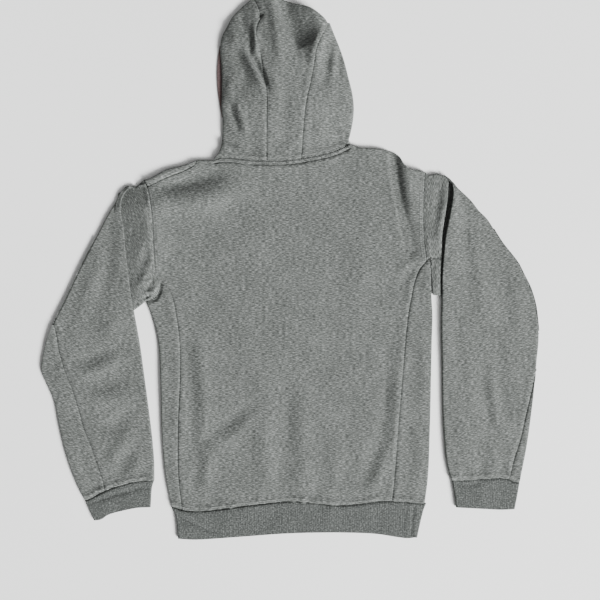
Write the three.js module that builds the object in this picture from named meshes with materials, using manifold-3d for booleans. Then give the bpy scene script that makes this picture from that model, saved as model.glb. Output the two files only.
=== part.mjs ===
// A pullover hoodie laid flat, back up, with its sleeves down at its sides and its hood up the table.
// Millimetres, +Z up, +Y from hem to hood, +X to the viewer's right. The cloth rests on z = 0.
// The garment is worked out as three hollow forms (body, two sleeves with cuffs, hood), each a flattened
// tube with a cloth wall, and then cut along its seams into the pieces that a maker sews.
import * as THREE from "three";
import { mergeVertices } from "three/addons/utils/BufferGeometryUtils.js";
import Module from "manifold-3d";

const wasm = await Module();
wasm.setup();

// ---- driving dimensions ---------------------------------------------------------------------------------
const CLOTH = 2; // fleece wall
const SEAM_GAP = 0.3; // between two sewn pieces
const FLAT = 6; // height of two layers lying on each other, with the air that fleece holds
const RIM = 3.2; // radius of a fold at a free edge, and height of its middle
const RIB_FLAT = 6.6; // height of the ribbed bands, whose wall is thicker
const RIB = 2.6; // rib wall
const NECK_RISE = 5; // how far the neck seam stands above the body
const HOOD_RISE = 17; // how far the hood's back stands above two flat layers
const SKY = 80; // above everything
const UNDER = -5; // below everything
const CUTTER_POINTS = 12; // points along each curved side of a cutting outline
const RIM_STEPS = [0, 0.13, 0.5]; // shares of a rim's radius where its rounding has a row of points
const LEAST_ROUNDING = 0.012; // keeps a thin face at the very edge
const FACET = 0.14; // facets may leave the smooth form by this much

// ---- tables: a row for each level or station ------------------------------------------------------------
// The body's free edges and the seams of its side panels, from the waistband up to the underarm.
const BODY_LEVELS = [
  { y: -452, edgeLeft: -219, seamLeft: -200, seamRight: 189, edgeRight: 252 },
  { y: -389, edgeLeft: -231, seamLeft: -207, seamRight: 194, edgeRight: 258 },
  { y: -307, edgeLeft: -238, seamLeft: -208, seamRight: 200, edgeRight: 261 },
  { y: -197, edgeLeft: -241, seamLeft: -204, seamRight: 209, edgeRight: 263 },
  { y: -136, edgeLeft: -245, seamLeft: -205, seamRight: 214, edgeRight: 264 },
  { y: -90, edgeLeft: -256, seamLeft: -211, seamRight: 219, edgeRight: 265 },
  { y: -56, edgeLeft: -268, seamLeft: -218, seamRight: 225, edgeRight: 263 },
];
// The armholes, from the underarm up to the shoulder point. The first rows close the side panel's top.
const ARMHOLE_LEFT = [
  { x: -266, y: -64 },
  { x: -250, y: -44 },
  { x: -240, y: -30 },
  { x: -247, y: -20 },
  { x: -251, y: 20 },
  { x: -255, y: 98 },
  { x: -262, y: 140 },
  { x: -274, y: 172 },
];
const ARMHOLE_RIGHT = [
  { x: 253, y: 11 },
  { x: 248, y: 55 },
  { x: 247, y: 120 },
  { x: 250, y: 190 },
];
const UNDERARM_RIGHT = [{ x: 262, y: -58 }, { x: 262, y: 8 }]; // the side panel ends here under the sleeve
// Where the body's form runs on past the armholes, so that the cut there is clean.
const PAST_ARMHOLE_LEFT = [
  { x: -270, y: -30 },
  { x: -266, y: 30 },
  { x: -270, y: 110 },
  { x: -282, y: 156 },
];
const PAST_ARMHOLE_RIGHT = [
  { x: 262, y: -16 },
  { x: 262, y: 30 },
  { x: 264, y: 120 },
  { x: 268, y: 162 },
];
const SIDE_SEAM_TOP_LEFT = [{ x: -227, y: -38 }, { x: -240, y: -30 }];
const SIDE_SEAM_TOP_RIGHT = [{ x: 232, y: -24 }, { x: 241, y: -3 }, { x: 253, y: 11 }];
// The shoulders and the neck seam, left to right.
const SHOULDER_LEFT = [
  { x: -282, y: 156 },
  { x: -262, y: 163 },
  { x: -227, y: 182 },
  { x: -197, y: 189 },
  { x: -170, y: 199 },
  { x: -144, y: 199 },
];
const PAST_NECK = [
  { x: -110, y: 214 },
  { x: -15, y: 222 },
  { x: 70, y: 232 },
];
const SHOULDER_RIGHT = [
  { x: 112, y: 232 },
  { x: 132, y: 222 },
  { x: 180, y: 216 },
  { x: 203, y: 204 },
  { x: 213, y: 190 },
  { x: 241, y: 180 },
  { x: 268, y: 162 },
];
const SHOULDER_SEAM_LEFT = [
  { x: -264, y: 148 },
  { x: -226, y: 167 },
  { x: -200, y: 177 },
  { x: -176, y: 190 },
  { x: -168, y: 204 },
];
const NECK_SEAM = [
  { x: -144, y: 197 },
  { x: -109, y: 198 },
  { x: -82, y: 193 },
  { x: -40, y: 191 },
  { x: 20, y: 195 },
  { x: 75, y: 205 },
  { x: 112, y: 224 },
];
// The seam under the waistband's top edge, and the waistband's lower edge, left to right.
const HEM_SEAM = [
  { x: -221, y: -444 },
  { x: -200, y: -451 },
  { x: -164, y: -453 },
  { x: -61, y: -441 },
  { x: 9, y: -435 },
  { x: 95, y: -443 },
  { x: 177, y: -435 },
  { x: 254, y: -439 },
];
const HEM_EDGE = [
  { x: -208, y: -505 },
  { x: -175, y: -507 },
  { x: -89, y: -500 },
  { x: -4, y: -494 },
  { x: 93, y: -492 },
  { x: 167, y: -493 },
  { x: 213, y: -498 },
  { x: 236, y: -502 },
];
// The sleeves: a row for each station from the shoulder to the cuff. The fold is the tube's inner edge.
// high is how far the cloth stands up along the fold, above two flat layers.
const SLEEVE_LEFT = [
  { edgeX: -304, edgeY: 147, foldX: -300, foldY: 145, high: 1 },
  { edgeX: -323, edgeY: 122, foldX: -313, foldY: 122, high: 3 },
  { edgeX: -355, edgeY: 64, foldX: -311, foldY: 84, high: 4.5 },
  { edgeX: -387, edgeY: 2, foldX: -305, foldY: 30, high: 4.5 },
  { edgeX: -417, edgeY: -61, foldX: -298, foldY: -30, high: 4 },
  { edgeX: -451, edgeY: -132, foldX: -290, foldY: -88, high: 2.5 },
  { edgeX: -462, edgeY: -188, foldX: -280, foldY: -143, high: 1 },
  { edgeX: -449, edgeY: -225, foldX: -272, foldY: -200, high: 0.5 },
  { edgeX: -429, edgeY: -293, foldX: -261, foldY: -272, high: 0.5 },
  { edgeX: -404, edgeY: -384, foldX: -252, foldY: -352, high: 1 },
  { edgeX: -376, edgeY: -446, foldX: -251, foldY: -408, high: 1.5 },
];
const SLEEVE_RIGHT = [
  { edgeX: 304, edgeY: 154, foldX: 299, foldY: 152, high: 2 },
  { edgeX: 325, edgeY: 134, foldX: 302, foldY: 130, high: 4 },
  { edgeX: 350, edgeY: 105, foldX: 298, foldY: 104, high: 5 },
  { edgeX: 394, edgeY: 45, foldX: 288, foldY: 55, high: 5 },
  { edgeX: 435, edgeY: -16, foldX: 284, foldY: -2, high: 4 },
  { edgeX: 461, edgeY: -105, foldX: 281, foldY: -80, high: 2.5 },
  { edgeX: 458, edgeY: -173, foldX: 281, foldY: -150, high: 1 },
  { edgeX: 449, edgeY: -262, foldX: 283, foldY: -255, high: 0.5 },
  { edgeX: 434, edgeY: -368, foldX: 290, foldY: -352, high: 1 },
  { edgeX: 421, edgeY: -413, foldX: 301, foldY: -413, high: 1.5 },
];
// The seam down the back of each sleeve, from where it comes round the outer edge to the cuff.
const SLEEVE_SEAM_LEFT = [
  { x: -470, y: -84 },
  { x: -437, y: -113 },
  { x: -418, y: -192 },
  { x: -394, y: -260 },
  { x: -358, y: -366 },
  { x: -336, y: -430 },
];
const SLEEVE_SEAM_RIGHT = [
  { x: 480, y: -176 },
  { x: 453, y: -208 },
  { x: 437, y: -276 },
  { x: 417, y: -353 },
  { x: 403, y: -420 },
];
// The cuffs: their form, from above the cuff seam to past the end, and the lines where they are cut.
const CUFF_LEFT = [
  { edgeX: -385, edgeY: -422, foldX: -251, foldY: -384 },
  { edgeX: -372, edgeY: -453, foldX: -256, foldY: -420 },
  { edgeX: -359, edgeY: -482, foldX: -260, foldY: -458 },
];
const CUFF_SEAM_LEFT = [
  { x: -390, y: -436 },
  { x: -372, y: -431 },
  { x: -343, y: -416 },
  { x: -313, y: -405 },
  { x: -280, y: -397 },
  { x: -240, y: -396 },
];
const CUFF_END_LEFT = [
  { x: -385, y: -472 },
  { x: -356, y: -470 },
  { x: -337, y: -459 },
  { x: -309, y: -452 },
  { x: -282, y: -446 },
  { x: -240, y: -445 },
];
const CUFF_RIGHT = [
  { edgeX: 424, edgeY: -390, foldX: 300, foldY: -392 },
  { edgeX: 420, edgeY: -427, foldX: 305, foldY: -426 },
  { edgeX: 416, edgeY: -460, foldX: 309, foldY: -458 },
];
const CUFF_SEAM_RIGHT = [
  { x: 440, y: -404 },
  { x: 420, y: -400 },
  { x: 400, y: -393 },
  { x: 360, y: -394 },
  { x: 320, y: -396 },
  { x: 288, y: -396 },
];
const CUFF_END_RIGHT = [
  { x: 440, y: -449 },
  { x: 417, y: -449 },
  { x: 360, y: -448 },
  { x: 308, y: -446 },
  { x: 288, y: -446 },
];
// The sleeve head between the armhole seam and the fold. It starts under the arm, runs under the tube's
// fold on its outer side, and ends along the shoulder.
const HEAD_LEFT = [
  { outer: -306, outerY: -92, inner: -248, innerY: -56 },
  { outer: -318, outerY: -30, inner: -228, innerY: -30 },
  { outer: -328, outerY: 60, inner: -236, innerY: 60 },
  { outer: -320, outerY: 112, inner: -240, innerY: 140 },
  { outer: -305, outerY: 146, inner: -250, innerY: 172 },
];
const HEAD_TOP_LEFT = [{ x: -305, y: 146 }, { x: -290, y: 156 }, { x: -268, y: 163 }, { x: -250, y: 172 }];
const HEAD_RIGHT = [
  { outer: 300, outerY: -56, inner: 263, innerY: -55 },
  { outer: 304, outerY: -20, inner: 262, innerY: -2 },
  { outer: 316, outerY: 30, inner: 232, innerY: 14 },
  { outer: 322, outerY: 100, inner: 232, innerY: 100 },
  { outer: 296, outerY: 158, inner: 236, innerY: 182 },
];
const HEAD_TOP_RIGHT = [{ x: 296, y: 158 }, { x: 282, y: 170 }, { x: 262, y: 169 }, { x: 236, y: 182 }];
// The hood: free edges and the two seams of its centre strip, level by level.
const HOOD_LEVELS = [
  { y: 178, edgeLeft: -134, seamLeft: -43, seamRight: 19, edgeRight: 104 },
  { y: 230, edgeLeft: -127, seamLeft: -43, seamRight: 22, edgeRight: 112 },
  { y: 272, edgeLeft: -125, seamLeft: -43, seamRight: 26, edgeRight: 117 },
  { y: 310, edgeLeft: -127, seamLeft: -43, seamRight: 31, edgeRight: 118 },
  { y: 352, edgeLeft: -127, seamLeft: -48, seamRight: 41, edgeRight: 109 },
  { y: 392, edgeLeft: -129, seamLeft: -55, seamRight: 47, edgeRight: 98 },
  { y: 430, edgeLeft: -125, seamLeft: -62, seamRight: 62, edgeRight: 84 },
];
const HOOD_EDGE_TOP_LEFT = { x: -91, y: 480 };
const HOOD_EDGE_TOP_RIGHT = { x: 74, y: 450 };
const CROWN = [
  { x: -91, y: 480 },
  { x: -71, y: 496 },
  { x: -42, y: 504 },
  { x: -12, y: 497 },
  { x: 35, y: 480 },
  { x: 74, y: 450 },
];
const HOOD_SEAM_TOP_LEFT = [{ x: -66, y: 470 }, { x: -72, y: 530 }];
const HOOD_SEAM_TOP_RIGHT = [{ x: 74, y: 450 }, { x: 96, y: 520 }];
// The face opening, underneath: how far it reaches each side of its middle line.
const FACE_MIDDLE = -12;
const FACE_OPENING = [
  { y: 150, half: 1.5 },
  { y: 200, half: 12 },
  { y: 270, half: 34 },
  { y: 350, half: 46 },
  { y: 400, half: 36 },
  { y: 428, half: 8 },
];
const CROWN_RETURN = 408; // the centre strip turns under and ends at this level
// The neckline of the front, underneath: the hood reaches down to it.
const NECK_SCOOP = [
  { x: -128, y: 192 },
  { x: -104, y: 158 },
  { x: -62, y: 133 },
  { x: -10, y: 124 },
  { x: 42, y: 140 },
  { x: 84, y: 176 },
  { x: 102, y: 212 },
];
// The lining that shows past the hood's left edge.
const LINING_REACH = [
  { y: 278, out: 1.2 },
  { y: 315, out: 6 },
  { y: 350, out: 8.5 },
  { y: 385, out: 6 },
  { y: 410, out: 1.2 },
];
const LINING = 1.2;

const WAISTBAND_END_LEFT = [{ x: -208, y: -505 }, { x: -212, y: -464 }, { x: -220, y: -446 }];
const WAISTBAND_END_RIGHT = [{ x: 236, y: -502 }, { x: 245, y: -457 }, { x: 253, y: -438 }];
const NECK_MIDDLE = { x: -15, y: 205 };
const NECK_SPREAD = { x: 130, y: 55 };

// Soft folds in the top layer: a rounded ridge (or trough, where high is negative) between two points.
const BODY_FOLDS = [
  { x0: -190, y0: -140, x1: -168, y1: -330, half: 13, high: 2.2 },
  { x0: -154, y0: -318, x1: -164, y1: -410, half: 14, high: 2 },
  { x0: 188, y0: -168, x1: 176, y1: -330, half: 12, high: 2.4 },
  { x0: 172, y0: -320, x1: 142, y1: -408, half: 14, high: 1.8 },
  { x0: 8, y0: -230, x1: 8, y1: -400, half: 22, high: 1.8 },
  { x0: -140, y0: -300, x1: -80, y1: -262, half: 16, high: 1.6 },
  { x0: 204, y0: 196, x1: 222, y1: 46, half: 9, high: 3.2 },
  { x0: -236, y0: 150, x1: -140, y1: 176, half: 15, high: 2.4 },
];
const HOOD_FOLDS = [
  { x0: -76, y0: 390, x1: -46, y1: 330, half: 7, high: 5 },
  { x0: -30, y0: 484, x1: 20, y1: 405, half: 13, high: -7 },
  { x0: -28, y0: 470, x1: -14, y1: 388, half: 9, high: 4 },
  { x0: -104, y0: 296, x1: -92, y1: 250, half: 8, high: 2.5 },
  { x0: 82, y0: 410, x1: 80, y1: 352, half: 8, high: 3 },
];
const SLEEVE_FOLDS = [
  { x0: -352, y0: 20, x1: -392, y1: -120, half: 16, high: 2 },
  { x0: -380, y0: -196, x1: -316, y1: -180, half: 15, high: 2.2 },
  { x0: -330, y0: -360, x1: -296, y1: -300, half: 13, high: 2 },
  { x0: 372, y0: -190, x1: 390, y1: -310, half: 12, high: 2.6 },
  { x0: 390, y0: -310, x1: 420, y1: -345, half: 10, high: 2 },
  { x0: 342, y0: 40, x1: 366, y1: -90, half: 18, high: 2 },
];
const HEAD_FOLDS = [
  { x0: 272, y0: 160, x1: 270, y1: 40, half: 12, high: 2.4 },
  { x0: 297, y0: 156, x1: 282, y1: 10, half: 6, high: -1.4 },
  { x0: -288, y0: 130, x1: -276, y1: -20, half: 12, high: 1.2 },
];

// ---- small helpers --------------------------------------------------------------------------------------
const clamp = THREE.MathUtils.clamp;
const lerp = THREE.MathUtils.lerp;

// A smooth curve through a table's points; place(0) is its first point and place(1) its last.
function smooth(points) {
  const curve = new THREE.CatmullRomCurve3(
    points.map((p) => new THREE.Vector3(p.x, p.y, 0)),
    false,
    "centripetal",
  );
  return {
    length: curve.getLength(),
    place: (share) => curve.getPointAt(clamp(share, 0, 1)),
    points: (count) => curve.getSpacedPoints(count),
  };
}

// One column of a table as points, such as the left edge of every level.
const column = (rows, x, y) => rows.map((row) => ({ x: row[x], y: row[y] }));

// How far a soft fold lifts the cloth at a place.
function foldHeight(folds, x, y) {
  let height = 0;
  for (const fold of folds) {
    const alongX = fold.x1 - fold.x0;
    const alongY = fold.y1 - fold.y0;
    const raw = ((x - fold.x0) * alongX + (y - fold.y0) * alongY) / (alongX ** 2 + alongY ** 2);
    const share = clamp(raw, 0, 1);
    const away = Math.hypot(x - fold.x0 - share * alongX, y - fold.y0 - share * alongY);
    height += fold.high * Math.exp(-((away / fold.half) ** 2));
  }
  return height;
}

// 0 at a rounded edge and 1 from the rim's radius inwards.
const rounding = (away, rim) => Math.sqrt(1 - (1 - clamp(away / rim, LEAST_ROUNDING, 1)) ** 2);

// A closed mesh from triangles over shared points, as a solid.
function solidOf(points, triangles) {
  return new wasm.Manifold(
    new wasm.Mesh({
      numProp: 3,
      vertProperties: new Float32Array(points.flat()),
      triVerts: new Uint32Array(triangles.flat()),
    }),
  );
}

// A flattened form between two edges. Its lower face is flat on the table, its upper face follows height,
// and its edges are rounded. end bows the last rows; a rounded end closes the form there.
// inset gives the same form seen from inside the cloth: every face moved in by that much.
function flattened(form, inset) {
  const { left, right, end, rows, columns, height, roundStart, roundEnd } = form;
  const length = (left.length + right.length) / 2;
  const radius = RIM - inset;
  const first = roundStart ? RIM / length : 0;
  const last = roundEnd ? 1 - RIM / length : 1;
  const shares = [];
  if (roundStart) for (const step of RIM_STEPS) shares.push((inset + radius * step) / length);
  for (let i = 0; i <= rows; i++) shares.push(lerp(first, last, i / rows));
  if (roundEnd) for (const step of [...RIM_STEPS].reverse()) shares.push(1 - (inset + radius * step) / length);

  const upper = [];
  const lower = [];
  for (const share of shares) {
    const from = left.place(share);
    const to = right.place(share);
    const width = from.distanceTo(to);
    const rim = Math.min(radius, (width - 2 * inset) / 4);
    const places = RIM_STEPS.map((step) => inset + step * rim);
    for (let i = 0; i <= columns; i++) places.push(lerp(inset + rim, width - inset - rim, i / columns));
    for (const step of [...RIM_STEPS].reverse()) places.push(width - inset - step * rim);
    const startAway = roundStart ? share * length - inset : Infinity;
    const endAway = roundEnd ? (1 - share) * length - inset : Infinity;
    for (const place of places) {
      const across = place / width;
      const x = lerp(from.x, to.x, across);
      let y = lerp(from.y, to.y, across);
      if (end) y += share * (end.place(across).y - lerp(end.place(0).y, end.place(1).y, across));
      const sideAway = Math.min(place, width - place) - inset;
      const full = rounding(sideAway, rim) * rounding(Math.min(startAway, endAway), radius);
      upper.push([x, y, RIM + (height(x, y, across, share) - inset - RIM) * full]);
      lower.push([x, y, RIM - (RIM - inset) * full]);
    }
  }

  const perRow = columns + 1 + 2 * RIM_STEPS.length;
  const lastRow = shares.length - 1;
  const triangles = [];
  const quad = (a, b, c, d) => triangles.push([a, b, c], [a, c, d]);
  const top = (row, i) => row * perRow + i;
  const under = (row, i) => upper.length + row * perRow + i;
  for (let row = 0; row < lastRow; row++) {
    for (let i = 0; i < perRow - 1; i++) {
      quad(top(row, i), top(row, i + 1), top(row + 1, i + 1), top(row + 1, i));
      quad(under(row, i), under(row + 1, i), under(row + 1, i + 1), under(row, i + 1));
    }
    const i = perRow - 1;
    quad(top(row, 0), top(row + 1, 0), under(row + 1, 0), under(row, 0));
    quad(top(row, i), under(row, i), under(row + 1, i), top(row + 1, i));
  }
  for (let i = 0; i < perRow - 1; i++) {
    quad(top(0, i), under(0, i), under(0, i + 1), top(0, i + 1));
    quad(top(lastRow, i), top(lastRow, i + 1), under(lastRow, i + 1), under(lastRow, i));
  }
  const made = solidOf([...upper, ...lower], triangles);
  if (made.volume() > 0) return made;
  return solidOf([...upper, ...lower], triangles.map(([a, b, c]) => [a, c, b]));
}

// The cloth of one or more forms that open into each other.
function shell(forms, cloth = CLOTH) {
  const outside = forms.map((form) => flattened(form, 0)).reduce((a, b) => a.add(b));
  const inside = forms.map((form) => flattened(form, cloth)).reduce((a, b) => a.add(b));
  return outside.subtract(inside);
}

// Everything inside an outline, between two heights, half a seam gap clear of the outline.
function inside(outline, low = UNDER, high = SKY) {
  const area = THREE.ShapeUtils.area(outline);
  const turned = area > 0 ? outline : [...outline].reverse();
  const count = turned.length;
  const moved = turned.map((point, i) => {
    const before = turned[(i + count - 1) % count];
    const after = turned[(i + 1) % count];
    const into = new THREE.Vector2(point.x - before.x, point.y - before.y).normalize();
    const out = new THREE.Vector2(after.x - point.x, after.y - point.y).normalize();
    const normal = new THREE.Vector2(-into.y - out.y, into.x + out.x).normalize();
    const stretch = Math.max(normal.dot(new THREE.Vector2(-into.y, into.x)), 0.4);
    return new THREE.Vector2(point.x, point.y).addScaledVector(normal, SEAM_GAP / 2 / stretch);
  });
  const geometry = new THREE.ExtrudeGeometry(new THREE.Shape(moved), {
    depth: high - low,
    bevelEnabled: false,
  });
  geometry.translate(0, 0, low);
  geometry.deleteAttribute("normal");
  geometry.deleteAttribute("uv");
  const merged = mergeVertices(geometry, 1e-4);
  return new wasm.Manifold(
    new wasm.Mesh({
      numProp: 3,
      vertProperties: merged.attributes.position.array,
      triVerts: new Uint32Array(merged.index.array),
    }),
  );
}

// A curve as points for an outline, forwards or backwards.
const along = (points) => smooth(points).points(CUTTER_POINTS);
const back = (points) => along(points).reverse();

const LOWER_TOP = RIM - SEAM_GAP / 2; // the lower layer ends here, and the upper one starts a gap above
const UPPER_FOOT = RIM + SEAM_GAP / 2;
const FAR = 700; // outlines run out to here where nothing bounds them
const EVERYWHERE = [{ x: -FAR, y: -FAR }, { x: FAR, y: -FAR }, { x: FAR, y: FAR }, { x: -FAR, y: FAR }];
const OVERLAP = 0.01; // the upper and lower parts of one piece share this much, so that they join
const FLEECE_GREY = 0x808381;
const RIB_GREY = 0x757876;
const LINING_BROWN = 0x6b5a5a;

// The largest body of a solid, without the crumbs that crossing cuts leave.
function largest(solid) {
  return solid.decompose().reduce((a, b) => (b.volume() > a.volume() ? b : a));
}

// ---- seams that two pieces share ------------------------------------------------------------------------
const down = (line, y = -FAR) => ({ x: line[0].x, y });
const sideSeamLeft = along([...column(BODY_LEVELS, "seamLeft", "y"), ...SIDE_SEAM_TOP_LEFT]);
const sideSeamRight = along([...column(BODY_LEVELS, "seamRight", "y"), ...SIDE_SEAM_TOP_RIGHT]);
const armholeLeft = along(ARMHOLE_LEFT.slice(2)); // above the side panel
const armholeRight = along(ARMHOLE_RIGHT);
const hoodSeamLeft = along([...column(HOOD_LEVELS, "seamLeft", "y"), ...HOOD_SEAM_TOP_LEFT]);
const hoodSeamRight = along([...column(HOOD_LEVELS, "seamRight", "y"), ...HOOD_SEAM_TOP_RIGHT]);
const hemSeam = [{ x: -FAR, y: -444 }, ...along(HEM_SEAM), { x: FAR, y: -439 }];
const neckSeam = [{ x: -FAR, y: 197 }, ...along(NECK_SEAM), { x: FAR, y: 224 }];
const shoulderSeam = along(SHOULDER_SEAM_LEFT);
const scoopLine = along(NECK_SCOOP);
const reversed = (line) => [...line].reverse();

// ---- the body -------------------------------------------------------------------------------------------
function neckRise(x, y) {
  const away = Math.hypot((x - NECK_MIDDLE.x) / NECK_SPREAD.x, (y - NECK_MIDDLE.y) / NECK_SPREAD.y);
  return NECK_RISE * Math.exp(-(away ** 2));
}

const bodyForm = {
  left: smooth([
    { x: -217, y: -462 },
    ...column(BODY_LEVELS, "edgeLeft", "y"),
    ...PAST_ARMHOLE_LEFT,
  ]),
  right: smooth([
    { x: 251, y: -462 },
    ...column(BODY_LEVELS, "edgeRight", "y"),
    ...PAST_ARMHOLE_RIGHT,
  ]),
  end: smooth([...SHOULDER_LEFT, ...PAST_NECK, ...SHOULDER_RIGHT]),
  rows: 24,
  columns: 19,
  roundEnd: true,
  height: (x, y) => FLAT + neckRise(x, y) + foldHeight(BODY_FOLDS, x, y),
};

// The front panel lies underneath and turns up over the left shoulder; the back panel lies on it.
function makePanels(cloth) {
  const sides = [down(sideSeamLeft), ...sideSeamLeft, ...armholeLeft.slice(1)];
  const rightSide = [...reversed(armholeRight), ...reversed(sideSeamRight).slice(1), down(sideSeamRight)];
  const whole = inside([...sides, { x: -274, y: FAR }, { x: 250, y: FAR }, ...rightSide]);
  const belowNeck = inside([...neckSeam, { x: FAR, y: -FAR }, { x: -FAR, y: -FAR }]);
  const pastScoop = [{ x: 102, y: FAR }, ...reversed(scoopLine), { x: -128, y: FAR }];
  const aroundScoop = inside([{ x: -FAR, y: FAR }, { x: -FAR, y: -FAR }, { x: FAR, y: -FAR }, { x: FAR, y: FAR },
    ...pastScoop]);
  const [seamStart] = shoulderSeam;
  const seamEnd = { x: -168, y: FAR };
  const wrap = inside([...shoulderSeam, seamEnd, { x: -FAR, y: FAR }, { x: -FAR, y: seamStart.y }]);
  const notWrap = inside([...shoulderSeam, seamEnd, { x: FAR, y: FAR }, { x: FAR, y: -FAR }, { x: -FAR, y: -FAR },
    { x: -FAR, y: seamStart.y }]);
  const panels = cloth.intersect(whole).intersect(belowNeck);
  const under = panels.intersect(aroundScoop).intersect(inside(EVERYWHERE, UNDER, LOWER_TOP));
  return {
    front_panel: under.add(panels.intersect(wrap).intersect(aroundScoop)),
    back_panel: panels.intersect(notWrap).intersect(inside(EVERYWHERE, UPPER_FOOT)),
  };
}

function makeSidePanels(cloth) {
  const left = [
    down(sideSeamLeft),
    ...sideSeamLeft,
    ...ARMHOLE_LEFT.slice(0, 2).reverse(),
    { x: -FAR, y: -78 },
    { x: -FAR, y: -FAR },
  ];
  const right = [
    ...reversed(sideSeamRight),
    down(sideSeamRight),
    { x: FAR, y: -FAR },
    { x: FAR, y: UNDERARM_RIGHT[0].y },
    ...UNDERARM_RIGHT,
  ];
  return {
    side_panel_left: cloth.intersect(inside(left)),
    side_panel_right: cloth.intersect(inside(right)),
  };
}

function makeWaistband() {
  const form = {
    left: smooth([{ x: -207, y: -520 }, ...WAISTBAND_END_LEFT, { x: -226, y: -430 }]),
    right: smooth([{ x: 234, y: -520 }, ...WAISTBAND_END_RIGHT, { x: 257, y: -424 }]),
    rows: 6,
    columns: 16,
    height: () => RIB_FLAT,
  };
  const outline = [
    ...reversed(hemSeam),
    { x: -FAR, y: HEM_EDGE[0].y },
    ...along(HEM_EDGE),
    { x: FAR, y: HEM_EDGE[HEM_EDGE.length - 1].y },
  ];
  return { waistband: shell([form], RIB).intersect(inside(outline)) };
}

// ---- the sleeves ----------------------------------------------------------------------------------------
// A sleeve's tube, and the sleeve head beside it, which runs under the tube's raised fold.
function sleeveForms(stations, head, headEnd) {
  const highs = stations.map((row) => row.high);
  const tube = {
    left: smooth(column(stations, "edgeX", "edgeY")),
    right: smooth(column(stations, "foldX", "foldY")),
    rows: 22,
    columns: 8,
    height: (x, y, across, share) => {
      const place = share * (highs.length - 1);
      const row = Math.min(Math.floor(place), highs.length - 2);
      const high = lerp(highs[row], highs[row + 1], place - row);
      return FLAT + high * THREE.MathUtils.smoothstep(across, 0.3, 0.9) + foldHeight(SLEEVE_FOLDS, x, y);
    },
  };
  const headForm = {
    left: smooth(column(head, "outer", "outerY")),
    right: smooth(column(head, "inner", "innerY")),
    end: smooth(headEnd),
    rows: 9,
    columns: 4,
    roundStart: true,
    roundEnd: true,
    height: (x, y) => FLAT + foldHeight(HEAD_FOLDS, x, y),
  };
  return [tube, headForm];
}

// The front piece lies underneath and comes round the outer edge to the seam; the back piece lies on it.
function splitSleeve(cloth, area, seam, side) {
  const line = along(seam);
  const [top] = seam;
  const foot = seam[seam.length - 1];
  const far = side * FAR;
  const outer = [...line, { x: far, y: foot.y }, { x: far, y: top.y }];
  const inner = [...line, { x: foot.x, y: -FAR }, { x: -far, y: -FAR }, { x: -far, y: FAR }, { x: far, y: FAR },
    { x: far, y: top.y }];
  const sleeve = cloth.intersect(inside(area));
  return {
    front: sleeve.intersect(inside(area, UNDER, LOWER_TOP).add(inside(outer))),
    back: sleeve.intersect(inside(inner, UPPER_FOOT)),
  };
}

function makeSleeves() {
  const leftCloth = shell(sleeveForms(SLEEVE_LEFT, HEAD_LEFT, HEAD_TOP_LEFT));
  const leftArea = [
    ...ARMHOLE_LEFT.slice(0, 2),
    ...armholeLeft,
    { x: -274, y: FAR },
    { x: -FAR, y: FAR },
    { x: -FAR, y: CUFF_SEAM_LEFT[0].y },
    ...along(CUFF_SEAM_LEFT),
    { x: -238, y: -390 },
    { x: -262, y: -130 },
    { x: -272, y: -84 },
  ];
  const rightCloth = shell(sleeveForms(SLEEVE_RIGHT, HEAD_RIGHT, HEAD_TOP_RIGHT));
  const rightArea = [
    ...reversed(armholeRight),
    ...reversed(UNDERARM_RIGHT),
    { x: 270, y: -80 },
    { x: 275, y: -390 },
    ...back(CUFF_SEAM_RIGHT),
    { x: FAR, y: CUFF_SEAM_RIGHT[0].y },
    { x: FAR, y: FAR },
    { x: 250, y: FAR },
  ];
  const left = splitSleeve(leftCloth, leftArea, SLEEVE_SEAM_LEFT, -1);
  const right = splitSleeve(rightCloth, rightArea, SLEEVE_SEAM_RIGHT, 1);
  return {
    sleeve_left_back: left.back,
    sleeve_left_front: left.front,
    sleeve_right_back: right.back,
    sleeve_right_front: right.front,
  };
}

// A cuff: a flat ribbed ring from the cuff seam to its open end.
function makeCuff(rows, seam, end) {
  const form = {
    left: smooth(column(rows, "edgeX", "edgeY")),
    right: smooth(column(rows, "foldX", "foldY")),
    rows: 4,
    columns: 6,
    height: () => RIB_FLAT,
  };
  const first = seam[0];
  const away = Math.sign(first.x) * FAR;
  const outline = [...along(seam), { x: 0, y: seam[seam.length - 1].y }, { x: 0, y: end[end.length - 1].y },
    ...back(end), { x: away, y: end[0].y }, { x: away, y: first.y }];
  return shell([form], RIB).intersect(inside(outline));
}

// ---- the hood -------------------------------------------------------------------------------------------
const hoodForm = {
  left: smooth([...column(HOOD_LEVELS, "edgeLeft", "y"), HOOD_EDGE_TOP_LEFT]),
  right: smooth([...column(HOOD_LEVELS, "edgeRight", "y"), HOOD_EDGE_TOP_RIGHT]),
  end: smooth(CROWN),
  rows: 15,
  columns: 11,
  roundEnd: true,
  height: (x, y, across, share) => {
    const dome = HOOD_RISE * Math.sin(Math.PI * across) ** 0.7;
    const fuller = THREE.MathUtils.smoothstep(share, 0, 0.45) * lerp(1, 0.55, share);
    return FLAT + NECK_RISE * Math.sin(Math.PI * across) ** 0.5 + dome * fuller + foldHeight(HOOD_FOLDS, x, y);
  },
};

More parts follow.
